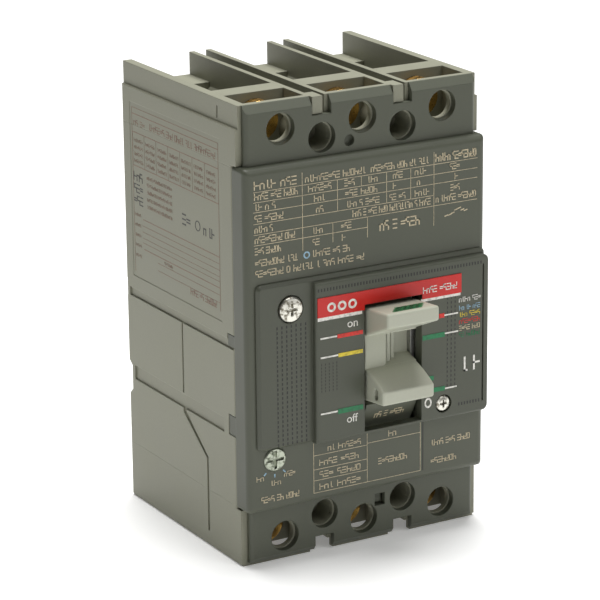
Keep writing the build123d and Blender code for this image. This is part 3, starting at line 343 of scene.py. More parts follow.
class Finishes:
    """Every finish on the breaker, each made once."""

    def __init__(self) -> None:
        """Lists the finishes."""
        self.kinds = {kind.name: kind for kind in (
            MouldedPlastic("case_grey", (137, 137, 120), roughness=0.5),
            MouldedPlastic("cover_dark", (83, 86, 73), roughness=0.46, mottle=0.06),
            MouldedPlastic("plate_dark", (78, 81, 69), roughness=0.44, mottle=0.06),
            MouldedPlastic("handle_grey", (182, 184, 167), roughness=0.36, mottle=0.04, grain=0.08, edge=0.5),
            MouldedPlastic("black_moulding", (44, 44, 42), roughness=0.5),
            MouldedPlastic("band_red", (200, 26, 18), roughness=0.3, mottle=0.05, grain=0.04, edge_wear_and_highlight=0.0, edge=0.1),
            Metal("bright_steel", (214, 212, 202), (92, 82, 58), roughness=0.3, cover=0.8, blotches=1100.0),
            # The dial's dark-green blotches are painted shading on the bright nickel head.
            Metal("dial_nickel", (170, 176, 160), (58, 66, 44), roughness=0.34, cover=0.85, blotches=900.0),
            Metal("sheet_steel", (168, 168, 165), (120, 118, 112), roughness=0.38, brush=(1.0, 1.0, 12.0)),
            Metal("spring_steel", (140, 142, 146), (90, 90, 92), roughness=0.3),
            Metal("brass_screw", (206, 164, 88), (120, 84, 40), roughness=0.24, cover=0.6),
            Metal("copper", (208, 128, 92), (128, 72, 50), roughness=0.34, brush=(12.0, 1.0, 1.0)),
            Metal("tinned_copper", (200, 196, 186), (158, 132, 108), roughness=0.34, brush=(1.0, 1.0, 10.0)),
            Fibre("fibre", (170, 92, 60)),
            Ink("ink_cream", (206, 192, 160)),
            Ink("ink_white", (236, 234, 226)),
            Ink("ink_red", (214, 40, 24)),
            Ink("ink_yellow", (226, 202, 52)),
            Ink("ink_green", (16, 118, 70)),
            Ink("ink_brown", (134, 106, 86), uneven=0.12),
            Ink("ink_black", (58, 56, 50)),
            Ink("ink_shade", (40, 41, 36)),
            Ink("ink_blue", (150, 186, 206)),
        )}
        self.made: dict[str, bpy.types.Material] = {}

    def get(self, name: str) -> bpy.types.Material:
        """Gives a finish's material, and makes it on first use."""
        if name not in self.made:
            self.made[name] = self.kinds[name].material()
        return self.made[name]

    def dress(self, finish: str, *nodes: str) -> None:
        """Puts a finish on CAD nodes.

        Args:
            finish: the finish's name.
            nodes: the nodes' names.
        """
        for name in nodes:
            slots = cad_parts[name].data.materials
            slots.clear()
            slots.append(self.get(finish))
        log.info("%s on %s", finish, ", ".join(nodes))


# ---------------------------------------------------------------- mesh tools
def piece(name: str, shape: bmesh.types.BMesh, finish: bpy.types.Material, body: str,
          smooth: bool = False) -> bpy.types.Object:
    """Turns a bmesh into a piece that rides on a CAD body.

    Args:
        name: the piece's name.
        shape: its shape in the object's frame, which is freed.
        finish: its material.
        body: the CAD body it rides on.
        smooth: whether its faces shade smoothly.

    Returns:
        The new object.
    """
    mesh = bpy.data.meshes.new(name)
    for face in shape.faces:
        face.smooth = smooth
    shape.to_mesh(mesh)
    shape.free()
    mesh.materials.append(finish)
    thing = bpy.data.objects.new(name, mesh)
    bpy.context.scene.collection.objects.link(thing)
    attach(thing, body)
    log.info("%s on %s, %d faces", name, body, len(mesh.polygons))
    return thing


def turned(profile: list[tuple[float, float]], place: Vector, steps: int = 48) -> bmesh.types.BMesh:
    """Spins a profile about a front-to-back line.

    Args:
        profile: (radius, depth) points in millimetres from the front centre to the rear centre.
        place: a point on the line, in metres, whose depth is not used.
        steps: the number of facets round.

    Returns:
        The closed shape.
    """
    shape = bmesh.new()
    rim = [shape.verts.new((radius * MM, -depth * MM, 0)) for radius, depth in profile]
    edges = [shape.edges.new(pair) for pair in zip(rim, rim[1:])]
    bmesh.ops.spin(shape, geom=rim + edges, cent=(0, 0, 0), axis=(0, 1, 0), angle=math.tau, steps=steps,
                   use_merge=True)
    bmesh.ops.remove_doubles(shape, verts=shape.verts, dist=1e-7)
    bmesh.ops.recalc_face_normals(shape, faces=shape.faces)
    bmesh.ops.translate(shape, verts=shape.verts, vec=(place.x, 0, place.z))
    return shape


def carved(blank: bmesh.types.BMesh, cutter: bmesh.types.BMesh) -> bmesh.types.BMesh:
    """Cuts one closed shape out of another.

    Args:
        blank: the shape to cut, which is freed.
        cutter: the shape to take away, which is freed.

    Returns:
        What is left.
    """
    things = []
    for shape in (blank, cutter):
        mesh = bpy.data.meshes.new("carving")
        shape.to_mesh(mesh)
        shape.free()
        thing = bpy.data.objects.new("carving", mesh)
        bpy.context.scene.collection.objects.link(thing)
        things.append(thing)
    cut = things[0].modifiers.new("cut", "BOOLEAN")
    cut.operation = "DIFFERENCE"
    cut.solver = "EXACT"
    cut.use_self = True
    cut.object = things[1]
    bpy.context.view_layer.update()
    graph = bpy.context.evaluated_depsgraph_get()
    left = bmesh.new()
    left.from_mesh(things[0].evaluated_get(graph).to_mesh())
    for thing in things:
        bpy.data.objects.remove(thing)
    return left


def cross_cutter(place: Vector, face: float, length: float, width: float, depth: float) -> bmesh.types.BMesh:
    """Makes the tapered cross that a driver's tip fits.

    Args:
        place: the screw's axis.
        face: the depth of the head's face in millimetres.
        length: the cross's width over its arms in millimetres.
        width: an arm's width in millimetres.
        depth: how deep it goes in millimetres.

    Returns:
        The closed cutter.
    """
    shape = bmesh.new()
    for turn in (0.0, math.pi / 2):
        size = Matrix.Diagonal((length * MM, depth * 2 * MM, width * MM, 1))
        made = bmesh.ops.create_cube(shape, size=1.0, matrix=size)
        deep = [vert for vert in made["verts"] if vert.co.y > 0]
        bmesh.ops.scale(shape, verts=deep, vec=(0.42, 1.0, 0.6))
        bmesh.ops.rotate(shape, verts=made["verts"], cent=(0, 0, 0), matrix=Matrix.Rotation(turn, 3, "Y"))
        if turn:
            bmesh.ops.scale(shape, verts=made["verts"], vec=(1.0, 1.01, 1.0))
    bmesh.ops.translate(shape, verts=shape.verts, vec=(place.x, -face * MM, place.z))
    return shape


class Side(Enum):
    """A flat side of the breaker that takes print, as the matrix columns of its own axes."""

    FRONT = ((1, 0, 0), (0, 0, 1), (0, -1, 0))
    LEFT = ((0, -1, 0), (0, 0, 1), (-1, 0, 0))
    TOP = ((1, 0, 0), (0, 1, 0), (0, 0, 1))


class InkPen:
    """Draws raised print as thin closed strokes on one flat side."""

    THIN = 0.13
    MARKS: tuple[tuple[Stroke, ...], ...] = (
        ((0.0, 0.0, 0.0, 1.0), (0.0, 0.5, 0.6, 0.5)),
        ((0.0, 1.0, 0.6, 1.0), (0.0, 0.5, 0.6, 0.5), (0.0, 0.0, 0.6, 0.0)),
        ((0.0, 0.0, 0.6, 0.0), (0.0, 1.0, 0.6, 1.0), (0.0, 0.0, 0.0, 1.0), (0.6, 0.0, 0.6, 1.0)),
        ((0.3, 0.0, 0.3, 1.0), (0.3, 0.0, 0.55, 0.0)),
        ((0.0, 0.5, 0.0, 1.0), (0.6, 0.0, 0.6, 0.5), (0.0, 0.5, 0.6, 0.5), (0.0, 1.0, 0.5, 1.0)),
        ((0.0, 0.0, 0.0, 0.6), (0.6, 0.4, 0.6, 1.0), (0.0, 0.0, 0.6, 0.0), (0.3, 0.4, 0.6, 0.4)),
        ((0.0, 0.0, 0.6, 0.0), (0.3, 0.3, 0.3, 1.0)),
        ((0.0, 0.0, 0.0, 0.7), (0.6, 0.0, 0.6, 0.7), (0.0, 0.7, 0.6, 0.7)),
        ((0.0, 0.35, 0.6, 0.35), (0.0, 0.65, 0.6, 0.65)),
        ((0.0, 0.0, 0.0, 1.0), (0.6, 0.0, 0.6, 0.5), (0.0, 0.5, 0.6, 0.5)),
        ((0.0, 1.0, 0.6, 1.0), (0.6, 0.0, 0.6, 1.0), (0.2, 0.5, 0.6, 0.5)),
    )

    def __init__(self, side: Side, level: float, rise: float = 0.05) -> None:
        """Starts on a side.

        Args:
            side: which side takes the print.
            level: how far that side is from the origin along its normal, in millimetres.
            rise: how far the ink stands proud, in millimetres.
        """
        self.side = side
        self.level = level
        self.rise = rise
        self.shape = bmesh.new()

    def bar(self, left: float, low: float, right: float, high: float, turn: float = 0.0) -> None:
        """Draws one straight stroke between two corners, in millimetres, turned about its middle."""
        size = Matrix.Diagonal(((right - left) * MM, (high - low) * MM, self.rise * 1.4 * MM, 1))
        middle = Matrix.Translation(((left + right) / 2 * MM, (low + high) / 2 * MM, self.rise * 0.3 * MM))
        bmesh.ops.create_cube(self.shape, size=1.0, matrix=middle @ Matrix.Rotation(turn, 4, "Z") @ size)

    def marks(self, left: float, low: float, width: float, height: float, start: int = 0, gaps: str = "") -> None:
        """Draws a run of abstract marks that stand for a line of small print.

        Args:
            left: where the run starts.
            low: its base line.
            width: its length.
            height: the marks' height.
            start: which mark comes first.
            gaps: a digit per word, the number of marks in it, or nothing for one word.
        """
        cell = height * 0.66
        words = [int(digit) for digit in gaps] if gaps else [max(1, round(width / cell))]
        cell = width / (sum(words) + 0.7 * (len(words) - 1))
        across = left
        count = start
        for word in words:
            for _ in range(word):
                thin = height * self.THIN / 2
                for x0, z0, x1, z1 in self.MARKS[(count * 7 + count // 3 + count // 5) % len(self.MARKS)]:
                    self.bar(across + x0 * cell * 1.2 - thin, low + thin + z0 * (height - 2 * thin) - thin,
                             across + x1 * cell * 1.2 + thin, low + thin + z1 * (height - 2 * thin) + thin)
                across += cell
                count += 1
            across += cell * 0.7

    def ring(self, x: float, z: float, outer: float, inner: float, tall: float = 1.0) -> None:
        """Draws a ring, which may be taller than it is wide."""
        made = bmesh.ops.create_circle(self.shape, cap_ends=False, segments=32, radius=outer * MM,
                                       matrix=Matrix.Translation((x * MM, z * MM, self.rise * MM)))
        loop = list({edge for vert in made["verts"] for edge in vert.link_edges})
        grown = bmesh.ops.extrude_edge_only(self.shape, edges=loop)["geom"]
        rim = [part for part in grown if isinstance(part, bmesh.types.BMVert)]
        centre = Vector((x * MM, z * MM, 0))
        share = inner / outer
        bmesh.ops.scale(self.shape, verts=rim, vec=(share, share, 1), space=Matrix.Translation(-centre))
        both = list(made["verts"]) + rim
        bmesh.ops.scale(self.shape, verts=both, vec=(1, tall, 1), space=Matrix.Translation(-centre))
        faces = list({face for vert in both for face in vert.link_faces})
        bmesh.ops.solidify(self.shape, geom=faces, thickness=self.rise * MM)

    def wrap(self, depth: float, height: float, radius: float) -> None:
        """Bends front print round a drum whose axis runs across the poles.

        Args:
            depth: the axis's depth in millimetres.
            height: the axis's height in millimetres.
            radius: the drum's radius in millimetres.
        """
        for vert in self.shape.verts:
            turn = math.asin((vert.co.y / MM - height) / radius)
            out = radius * MM + vert.co.z
            vert.co.y = height * MM + out * math.sin(turn)
            vert.co.z = depth * MM + out * math.cos(turn)

    def done(self, name: str, finish: bpy.types.Material, body: str, slot: str) -> bpy.types.Object:
        """Lays the print on its side and makes it a piece."""
        axes = Matrix([[*row, 0.0] for row in zip(*self.side.value)] + [[0, 0, 0, 1]])
        lift = Matrix.Translation((0, 0, self.level * MM))
        bmesh.ops.transform(self.shape, verts=self.shape.verts, matrix=axes @ lift)
        bmesh.ops.recalc_face_normals(self.shape, faces=self.shape.faces)
        return piece(name, self.shape, finish, body)


# ---------------------------------------------------------------- sub-assemblies
@dataclass
class CaseShell:
    """The light grey base and the print on its left side."""

    finishes: Finishes
    recess: float = 0.1
    label_rear: float = 6.0
    label_front: float = 56.5
    rules: tuple[float, ...] = (51.2, 45.9, 36.2)
    part_rules: tuple[tuple[float, float], ...] = ((11.5, 21.3), (11.6, 12.6))
    fine_rules: tuple[float, ...] = (19.4, 17.6, 15.8, 14.4, 10.6, 8.4)
    layers: tuple[str, ...] = ("end_walls", "rear_blocks", "crossbars", "front_rails")

    def dress(self) -> None:
        """Gives the base its finish."""
        ends = [f"{end}_{layer}" for end in ("line", "load") for layer in self.layers]
        self.finishes.dress("case_grey", "rear_case", *ends)

    def side_print(self) -> None:
        """Prints the ruled label on the left side."""
        face = -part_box("rear_case")[0].x / MM - self.recess
        pen = InkPen(Side.LEFT, face)
        for height in self.rules:
            pen.bar(self.label_rear, height - 0.11, self.label_front, height + 0.11)
        for rear, height in self.part_rules:
            pen.bar(rear, height - 0.11, self.label_front, height + 0.11)
        for height in self.fine_rules:
            pen.bar(11.0 if height > 12 else 20.0, height - 0.06, self.label_front, height + 0.06)
        pen.bar(self.label_rear, 52.9, self.label_front, 53.05)
        pen.bar(self.label_front - 0.08, 6.0, self.label_front + 0.08, 53.0)
        pen.bar(self.label_rear - 0.06, 5.0, self.label_rear + 0.06, 53.0)
        for column in range(7):
            left = 7.0 + column * 7.1
            for row in range(4):
                pen.marks(left, 43.2 - row * 2.0, 5.4, 1.0, start=column * 3 + row)
            pen.bar(left - 0.9, 36.2, left - 0.84, 45.9)
        for row in range(5):
            pen.marks(14.4, 33.6 - row * 2.1, 15.0, 1.0, start=row * 4 + 1)
            pen.marks(6.6, 21.6 - row * 3.0, 3.6, 0.9, start=row)
        pen.marks(39.4, 6.5, 15.2, 1.9, start=3, gaps="426")
        pen.marks(24.0, 11.2, 5.0, 0.8, start=5)
        pen.done("side_print_brown", self.finishes.get("ink_brown"), "base", "print_brown")
        dark = InkPen(Side.LEFT, face)
        pen = InkPen(Side.LEFT, face)
        pen.marks(16.4, 48.2, 38.8, 1.9, start=2, gaps="73439")
        pen.marks(7.0, 48.0, 7.0, 1.6, start=4, gaps="22")
        pen.done("side_title", self.finishes.get("ink_brown"), "base", "print_brown")
        for row in range(3):
            dark.marks(6.4, 31.8 - row * 3.4, 5.6, 2.6, start=row * 2 + 3)
        dark.marks(35.4, 25.6, 5.0, 3.2, start=6)
        dark.ring(44.2, 27.2, 1.5, 1.2)
        dark.marks(47.6, 25.4, 6.4, 2.8, start=1, gaps="12")
        dark.done("side_print_dark", self.finishes.get("ink_black"), "base", "print_brown")


@dataclass
class FrontCovers:
    """The dark inner and outer covers with the ruled rating tables."""

    finishes: Finishes
    lines_across: tuple[Stroke, ...] = (
        (-35.4, 42.2, 35.2, 42.2), (-35.4, 39.4, 35.2, 39.4), (-35.4, 36.7, 35.2, 36.7), (-35.4, 33.5, 20.8, 33.5),
        (-35.4, 30.5, 35.2, 30.5), (-35.4, 27.6, -0.3, 27.6), (-17.7, -35.0, -0.6, -35.0), (-0.5, -34.5, 16.9, -34.5),
        (-17.7, -39.1, -0.6, -39.1), (-17.7, -42.3, -0.6, -42.3), (-17.7, -45.9, 16.9, -45.9))
    lines_up: tuple[Stroke, ...] = (
        (-20.5, 24.2, -20.5, 45.6), (-9.6, 33.5, -9.6, 42.2), (-2.1, 39.4, -2.1, 42.2), (5.9, 33.5, 5.9, 42.2),
        (13.6, 33.5, 13.6, 42.2), (21.1, 24.9, 21.1, 45.6), (-11.1, 25.1, -11.1, 30.5), (-0.2, 24.8, -0.2, 30.5),
        (-17.7, -45.9, -17.7, -31.4), (-0.5, -45.9, -0.5, -31.4), (16.9, -45.9, 16.9, -31.4))
    text: tuple[tuple[float, float, float, float, int, str], ...] = (
        (-35.1, 42.8, 13.2, 2.4, 0, "43"), (-35.1, 40.0, 13.4, 1.9, 3, "434"), (-35.1, 37.1, 6.6, 1.9, 2, "211"),
        (-35.1, 34.0, 8.9, 1.9, 5, "25"), (-35.1, 31.0, 5.6, 1.9, 1, "41"), (-35.1, 28.1, 12.4, 1.9, 4, "83"),
        (-35.1, 25.0, 8.0, 1.9, 6, "35"), (-35.1, 21.7, 13.2, 1.9, 7, "83"), (-17.6, 21.8, 12.0, 1.9, 2, "522"),
        (-35.1, 18.7, 34.0, 1.9, 5, "7151342"), (-19.5, 42.8, 19.0, 1.9, 1, "96"), (1.0, 42.8, 18.6, 1.9, 4, "7323"),
        (21.7, 42.8, 13.3, 2.3, 0, "58"), (-18.6, 40.0, 7.4, 1.8, 3, ""), (-7.3, 40.0, 3.3, 1.8, 6, ""),
        (-0.1, 40.0, 3.3, 1.8, 2, ""), (8.0, 40.0, 3.2, 1.8, 4, ""), (15.0, 40.0, 3.8, 1.8, 1, ""),
        (26.3, 40.0, 3.4, 1.8, 5, ""), (-16.8, 37.1, 3.5, 1.8, 0, ""), (-7.1, 37.1, 10.3, 1.8, 7, "34"),
        (8.0, 37.1, 1.1, 1.8, 3, ""), (15.7, 37.1, 1.1, 1.8, 1, ""), (27.9, 37.1, 1.3, 1.8, 3, ""),
        (-16.2, 34.0, 2.4, 1.8, 4, ""), (-6.8, 34.0, 10.6, 1.8, 2, "314"), (6.9, 34.0, 5.2, 1.8, 5, "22"),
        (15.0, 34.0, 4.8, 1.8, 0, ""), (26.6, 34.0, 3.1, 1.8, 6, ""), (-4.8, 31.1, 25.0, 1.9, 3, "3133814"),
        (21.8, 31.3, 13.2, 1.9, 1, "156"), (-17.4, 28.2, 3.3, 1.8, 2, ""), (-8.4, 28.2, 3.3, 1.8, 7, ""),
        (-17.4, 25.0, 2.3, 1.8, 5, ""), (-8.2, 25.0, 1.3, 1.8, 3, ""), (3.8, 25.9, 13.0, 2.8, 4, "214"),
        (-15.8, -38.2, 12.8, 1.8, 3, "44"), (-15.8, -41.7, 13.4, 1.8, 5, "35"), (-15.8, -45.2, 13.4, 1.8, 0, "35"),
        (-13.1, -34.3, 10.8, 1.7, 1, "26"), (6.5, -33.8, 2.7, 1.8, 3, ""), (3.2, -41.4, 9.5, 1.8, 6, ""),
        (20.5, -39.3, 13.1, 1.8, 2, "434"), (20.5, -44.7, 8.6, 1.8, 7, ""), (-35.6, -39.2, 2.4, 1.5, 0, ""),
        (-27.0, -39.2, 3.6, 1.5, 4, ""), (-31.3, -41.1, 3.4, 1.5, 2, ""), (-34.2, -45.7, 12.0, 1.8, 5, "424"))

    def dress(self) -> None:
        """Gives the covers their finish."""
        self.finishes.dress("cover_dark", "main_cover", "line_end_cover", "load_end_cover", "accessory_cover")

    def tables(self) -> None:
        """Prints the ruled tables above and below the front plate."""
        face = -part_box("accessory_cover")[0].y / MM
        rules = InkPen(Side.FRONT, face)
        for x0, z0, x1, z1 in self.lines_across + self.lines_up:
            rules.bar(x0 - 0.07, z0 - 0.07, x1 + 0.07, z1 + 0.07)
        rules.done("table_rules", self.finishes.get("ink_cream"), "base", "print_cream")
        pen = InkPen(Side.FRONT, face)
        for left, low, width, height, start, gaps in self.text:
            pen.marks(left, low, width, height, start, gaps)
        for index in range(7):
            rise = (0.0, 0.1, 0.5, 1.3, 1.6, 1.0, 0.7)[index]
            pen.bar(24.6 + index * 1.05, 27.0 + rise, 25.8 + index * 1.05, 27.3 + rise, turn=0.25)
        pen.done("table_print", self.finishes.get("ink_cream"), "base", "print_cream")
        seam = InkPen(Side.FRONT, face)
        seam.bar(17.6, -46.0, 17.9, -31.2)
        seam.done("table_shade", self.finishes.get("ink_shade"), "base", "cover_dark")
        tick = InkPen(Side.FRONT, face)
        for x, z, turn in ((-33.0, -37.4, -0.8), (-30.0, -38.3, 0.0), (-27.0, -37.5, 0.8)):
            tick.bar(x - 0.2, z - 0.5, x + 0.2, z + 0.5, turn=turn)
        tick.ring(-19.3, 22.7, 1.0, 0.62)
        tick.done("dial_ticks", self.finishes.get("ink_blue"), "base", "print_cream")


@dataclass
class FrontPlate:
    """The raised plate round the handle with its colour band, textures and position marks."""

    finishes: Finishes
    dot_pitch: tuple[float, float] = (1.47, 1.33)

    def dress(self) -> None:
        """Gives the plate and band their finishes."""
        self.finishes.dress("plate_dark", "escutcheon")
        self.finishes.dress("band_red", "colour_band")

    def textures(self) -> None:
        """Lays the fine tick textures on the column and the panel."""
        column = InkPen(Side.FRONT, self.levels()[0])
        for across in range(7):
            for down in range(26):
                x = -29.5 + across * self.dot_pitch[0]
                z = 4.0 - down * self.dot_pitch[1]
                column.bar(x - 0.19, z - 0.4, x + 0.19, z + 0.4)
        column.done("column_texture", self.finishes.get("ink_shade"), "base", "cover_dark")
        panel = InkPen(Side.FRONT, self.levels()[1])
        for across in range(3):
            for down in range(20):
                x = 23.7 + across * 1.25
                z = 4.4 - down * self.dot_pitch[1]
                panel.bar(x - 0.15, z - 0.36, x + 0.15, z + 0.36)
        for across in range(5):
            for down in range(9):
                x = -16.8 + across * 1.2
                z = -8.0 - down * 0.95
                panel.bar(x - 0.1, z - 0.28, x + 0.1, z + 0.28)
        for across in range(56):
            x = -17.6 + across * 0.95
            panel.bar(x - 0.2, 12.7, x + 0.2, 13.6)
        for across in range(8):
            x = 27.6 + across * 0.95
            panel.bar(x - 0.2, -27.6, x + 0.2, -26.7)
        panel.done("panel_texture", self.finishes.get("ink_shade"), "base", "cover_dark")

    def levels(self) -> tuple[float, float]:
        """Gives the depths of the column's face and the panel's face."""
        front = -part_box("escutcheon")[0].y / MM
        return front - 1.8, front

    def position_marks(self) -> None:
        """Prints the coloured bars and leader lines beside the slot."""
        face = self.levels()[1]
        bars = {"red": ((-11.8, -1.2, -3.75, -0.1), (20.9, -0.9, 22.6, 0.35)),
                "yellow": ((-11.5, -6.6, -3.8, -5.55),),
                "green": ((-11.7, -22.9, -3.75, -21.5), (15.5, -6.5, 22.8, -5.1), (17.4, -18.6, 19.2, -17.3),
                          (19.2, -22.2, 22.9, -20.9))}
        for name, strokes in bars.items():
            pen = InkPen(Side.FRONT, face, rise=0.12)
            for stroke in strokes:
                pen.bar(*stroke)
            pen.done(f"mark_{name}", self.finishes.get(f"ink_{name}"), "base", f"mark_{name}")
        pen = InkPen(Side.FRONT, face, rise=0.1)
        for stroke in ((-17.1, -0.75, -11.9, -0.3), (-17.1, -6.2, -11.6, -5.75), (-17.2, -22.3, -11.8, -21.85),
                       (22.6, -0.5, 27.1, -0.1), (22.8, -5.8, 27.2, -5.4), (22.9, -21.9, 26.8, -21.5)):
            pen.bar(*stroke)
        pen.bar(-17.9, 4.5, -3.95, 5.45)
        pen.bar(14.95, 4.7, 27.9, 5.5)
        pen.marks(27.5, 2.6, 7.2, 1.5, start=1, gaps="43")
        pen.marks(28.6, -17.8, 6.2, 4.3, start=2, gaps="11")
        pen.done("plate_print", self.finishes.get("ink_white"), "base", "print_cream")
        colours = ("ink_blue", "ink_yellow", "ink_red", "ink_cream", "ink_green")
        for row, name in enumerate(colours):
            pen = InkPen(Side.FRONT, face)
            pen.marks(27.6, 0.2 - row * 1.95, 7.0, 1.4, start=row * 2, gaps=("223", "34", "7", "43", "25")[row])
            pen.done(f"plate_code_{row + 1}", self.finishes.get(name), "base", "print_cream")
        band = InkPen(Side.FRONT, -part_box("colour_band")[0].y / MM)
        band.marks(15.6, 7.0, 11.2, 1.9, start=3, gaps="45")
        for index in range(3):
            band.ring(-13.7 + index * 3.3, 8.0, 1.35, 0.72)
        band.done("band_print", self.finishes.get("ink_white"), "base", "print_cream")

    def words(self) -> None:
        """Sets the plain on, off and zero marks by the slot."""
        face = self.levels()[1]
        for name, body, x, z, size in (("word_on", "on", -8.7, 1.35, 3.4), ("word_off", "off", -9.0, -26.0, 3.3)):
            curve = bpy.data.curves.new(name, "FONT")
            curve.body = body
            curve.size = size * MM
            curve.extrude = 0.04 * MM
            curve.resolution_u = 6
            source = bpy.data.objects.new(name + "_curve", curve)
            bpy.context.scene.collection.objects.link(source)
            bpy.context.view_layer.update()
            shape = bmesh.new()
            graph = bpy.context.evaluated_depsgraph_get()
            shape.from_mesh(bpy.data.meshes.new_from_object(source.evaluated_get(graph)))
            bpy.data.objects.remove(source)
            axes = Matrix([[*row, 0.0] for row in zip(*Side.FRONT.value)] + [[0, 0, 0, 1]])
            where = Matrix.Translation((x * MM, z * MM, (face + 0.02) * MM))
            bmesh.ops.transform(shape, verts=shape.verts, matrix=axes @ where)
            bmesh.ops.remove_doubles(shape, verts=shape.verts, dist=1e-7)
            bmesh.ops.recalc_face_normals(shape, faces=shape.faces)
            piece(name, shape, self.finishes.get("ink_white"), "base")
        pen = InkPen(Side.FRONT, face, rise=0.08)
        pen.ring(17.4, -25.0, 1.15, 0.72, tall=1.3)
        pen.done("zero_mark", self.finishes.get("ink_white"), "base", "print_cream")


@dataclass
class ToggleGrip:
    """The handle with the print on its bar and the apron's rating line."""

    finishes: Finishes
    plate_radius: float = 38.4
    bar_rear: float = 67.9
    bar_rear_height: float = 5.1
    bar_slope: float = 1.5 / 16.8
    rows: int = 4
    row_start: tuple[float, float] = (0.8, -82.9)
    row_step: tuple[float, float] = (0.9, 1.15)
    row_size: tuple[float, float] = (9.2, 0.8)
    pivot_depth: float = 38.0
    pivot_height: float = -8.0

    def dress(self) -> None:
        """Gives the handle and its steel legs their finishes."""
        self.finishes.dress("handle_grey", "toggle_handle")
        self.finishes.dress("cover_dark", "rating_apron")
        self.finishes.dress("sheet_steel", "handle_yoke", "link_pin")

    def bar_print(self) -> None:
        """Prints the small marks on the bar's top face."""
        low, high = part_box("toggle_handle")
        green = InkPen(Side.TOP, self.bar_rear_height, rise=0.1)
        black = InkPen(Side.TOP, self.bar_rear_height, rise=0.14)
        length, height = self.row_size
        for row in range(self.rows):
            left, front = (start + row * step for start, step in zip(self.row_start, self.row_step))
            green.bar(left, front, left + length, front + height)
            black.marks(left + 0.8, front + 0.1, 7.4, 0.7, start=row * 3, gaps="3232")
        for pen, name in ((green, "green"), (black, "black")):
            for vert in pen.shape.verts:
                vert.co.z += (-vert.co.y - self.bar_rear * MM) * self.bar_slope
            pen.done(f"grip_print_{name}", self.finishes.get(f"ink_{name}"), "handle", "mark_green")
        log.info("grip spans %.1f to %.1f mm across", low.x / MM, high.x / MM)

    def apron_print(self) -> None:
        """Prints the rating line on the curved plate under the grip."""
        pen = InkPen(Side.FRONT, 0.0)
        pen.marks(1.6, -27.4, 9.6, 2.0, start=4, gaps="214")
        pen.wrap(self.pivot_depth, self.pivot_height, self.plate_radius)
        pen.done("apron_print", self.finishes.get("ink_cream"), "handle", "print_cream")


@dataclass
class Screws:
    """Every visible screw, turned and carved."""

    finishes: Finishes
    crowned: float = 0.55

    def head(self, radius: float, front: float, rear: float, neck: float, tip: float) -> list[tuple[float, float]]:
        """Gives a pan head's profile from the front centre to the tip's centre."""
        arc = []
        for index in range(7):
            turn = index / 6 * math.pi / 2
            shoulder = front - self.crowned * 0.4 - 0.55 * (1 - math.cos(turn))
            arc.append((radius - 0.55 + 0.55 * math.sin(turn), shoulder))
        return [(0.0, front), (radius * 0.5, front - self.crowned * 0.1)] + arc + [(radius, rear), (neck, rear),
                                                                                 (neck, tip), (0.0, tip)]

    def front_screws(self) -> None:
        """Replaces the two front screws by pan heads with a driver's cross."""
        for node, radius, neck, length, width in (("cover_screw", 3.55, 1.7, 5.2, 1.05),
                                                  ("small_cover_screw", 2.3, 1.15, 3.3, 0.75)):
            low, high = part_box(node)
            front = -low.y / MM
            place = (low + high) / 2
            rear = front - (1.8 if radius > 3 else 1.6)
            blank = turned(self.head(radius, front, rear, neck, -high.y / MM), place)
            shape = carved(blank, cross_cutter(place, front, length, width, 1.15))
            new = piece(node + "_turned", shape, self.finishes.get("bright_steel"), "base")
            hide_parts(node)

    def clamp_screws(self) -> None:
        """Replaces the terminal screws by threaded ones with slotted heads."""
        low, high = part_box("terminal_screws")
        front = -low.y / MM
        rear = front - 3.8
        tip = -high.y / MM
        shape = bmesh.new()
        for x in (-25.4, 0.0, 25.4):
            for z in (-57.7, 57.7):
                profile = self.head(5.55, front, rear, 2.85, rear - 0.4)[:-2]
                depth = rear - 0.4
                profile.append((2.85, depth))
                while depth - 0.7 > tip:
                    profile += [(2.45, depth - 0.35), (2.85, depth - 0.7)]
                    depth -= 0.7
                profile += [(2.3, tip), (0.0, tip)]
                place = Vector((x * MM, 0, z * MM))
                made = carved(turned(profile, place, 40), cross_cutter(place, front, 6.2, 1.1, 1.6))
                mesh = bpy.data.meshes.new("clamp")
                made.to_mesh(mesh)
                made.free()
                shape.from_mesh(mesh)
        new = piece("clamp_screws_turned", shape, self.finishes.get("brass_screw"), "base")
        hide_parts("terminal_screws")


@dataclass
class InnerWorks:
    """Everything inside: current path, mechanism, trip gear and arc chutes."""

    finishes: Finishes
    plain: dict[str, tuple[str, ...]] = field(default_factory=lambda: {
        "cover_dark": ("trip_button",),
        "black_moulding": ("contact_shaft", "trip_bar"),
        "sheet_steel": ("mechanism_frame", "frame_pins", "crank_pin", "drive_link", "contact_pins", "armature_pins",
                        "terminal_nuts", "pressure_pads", "arc_plates", "bimetals", "magnet_yokes"),
        "spring_steel": ("main_springs", "trip_spring", "button_spring"),
        "bright_steel": ("lid_screws",),
        "dial_nickel": ("trip_dial",),
        "copper": ("braids",),
        "fibre": ("arc_cheeks",),
    })
    per_pole: dict[str, tuple[str, ...]] = field(default_factory=lambda: {
        "sheet_steel": ("armature",),
        "spring_steel": ("contact_spring",),
        "copper": ("contact_arm",),
        "tinned_copper": ("line_terminal", "load_terminal"),
    })

    def dress(self) -> None:
        """Gives every inner node its finish."""
        for finish, nodes in self.plain.items():
            self.finishes.dress(finish, *nodes)
        for finish, stems in self.per_pole.items():
            self.finishes.dress(finish, *(f"{stem}_{pole}" for stem in stems for pole in (1, 2, 3)))
        self.finishes.dress("bright_steel", "cover_screw", "small_cover_screw")
        self.finishes.dress("brass_screw", "terminal_screws")


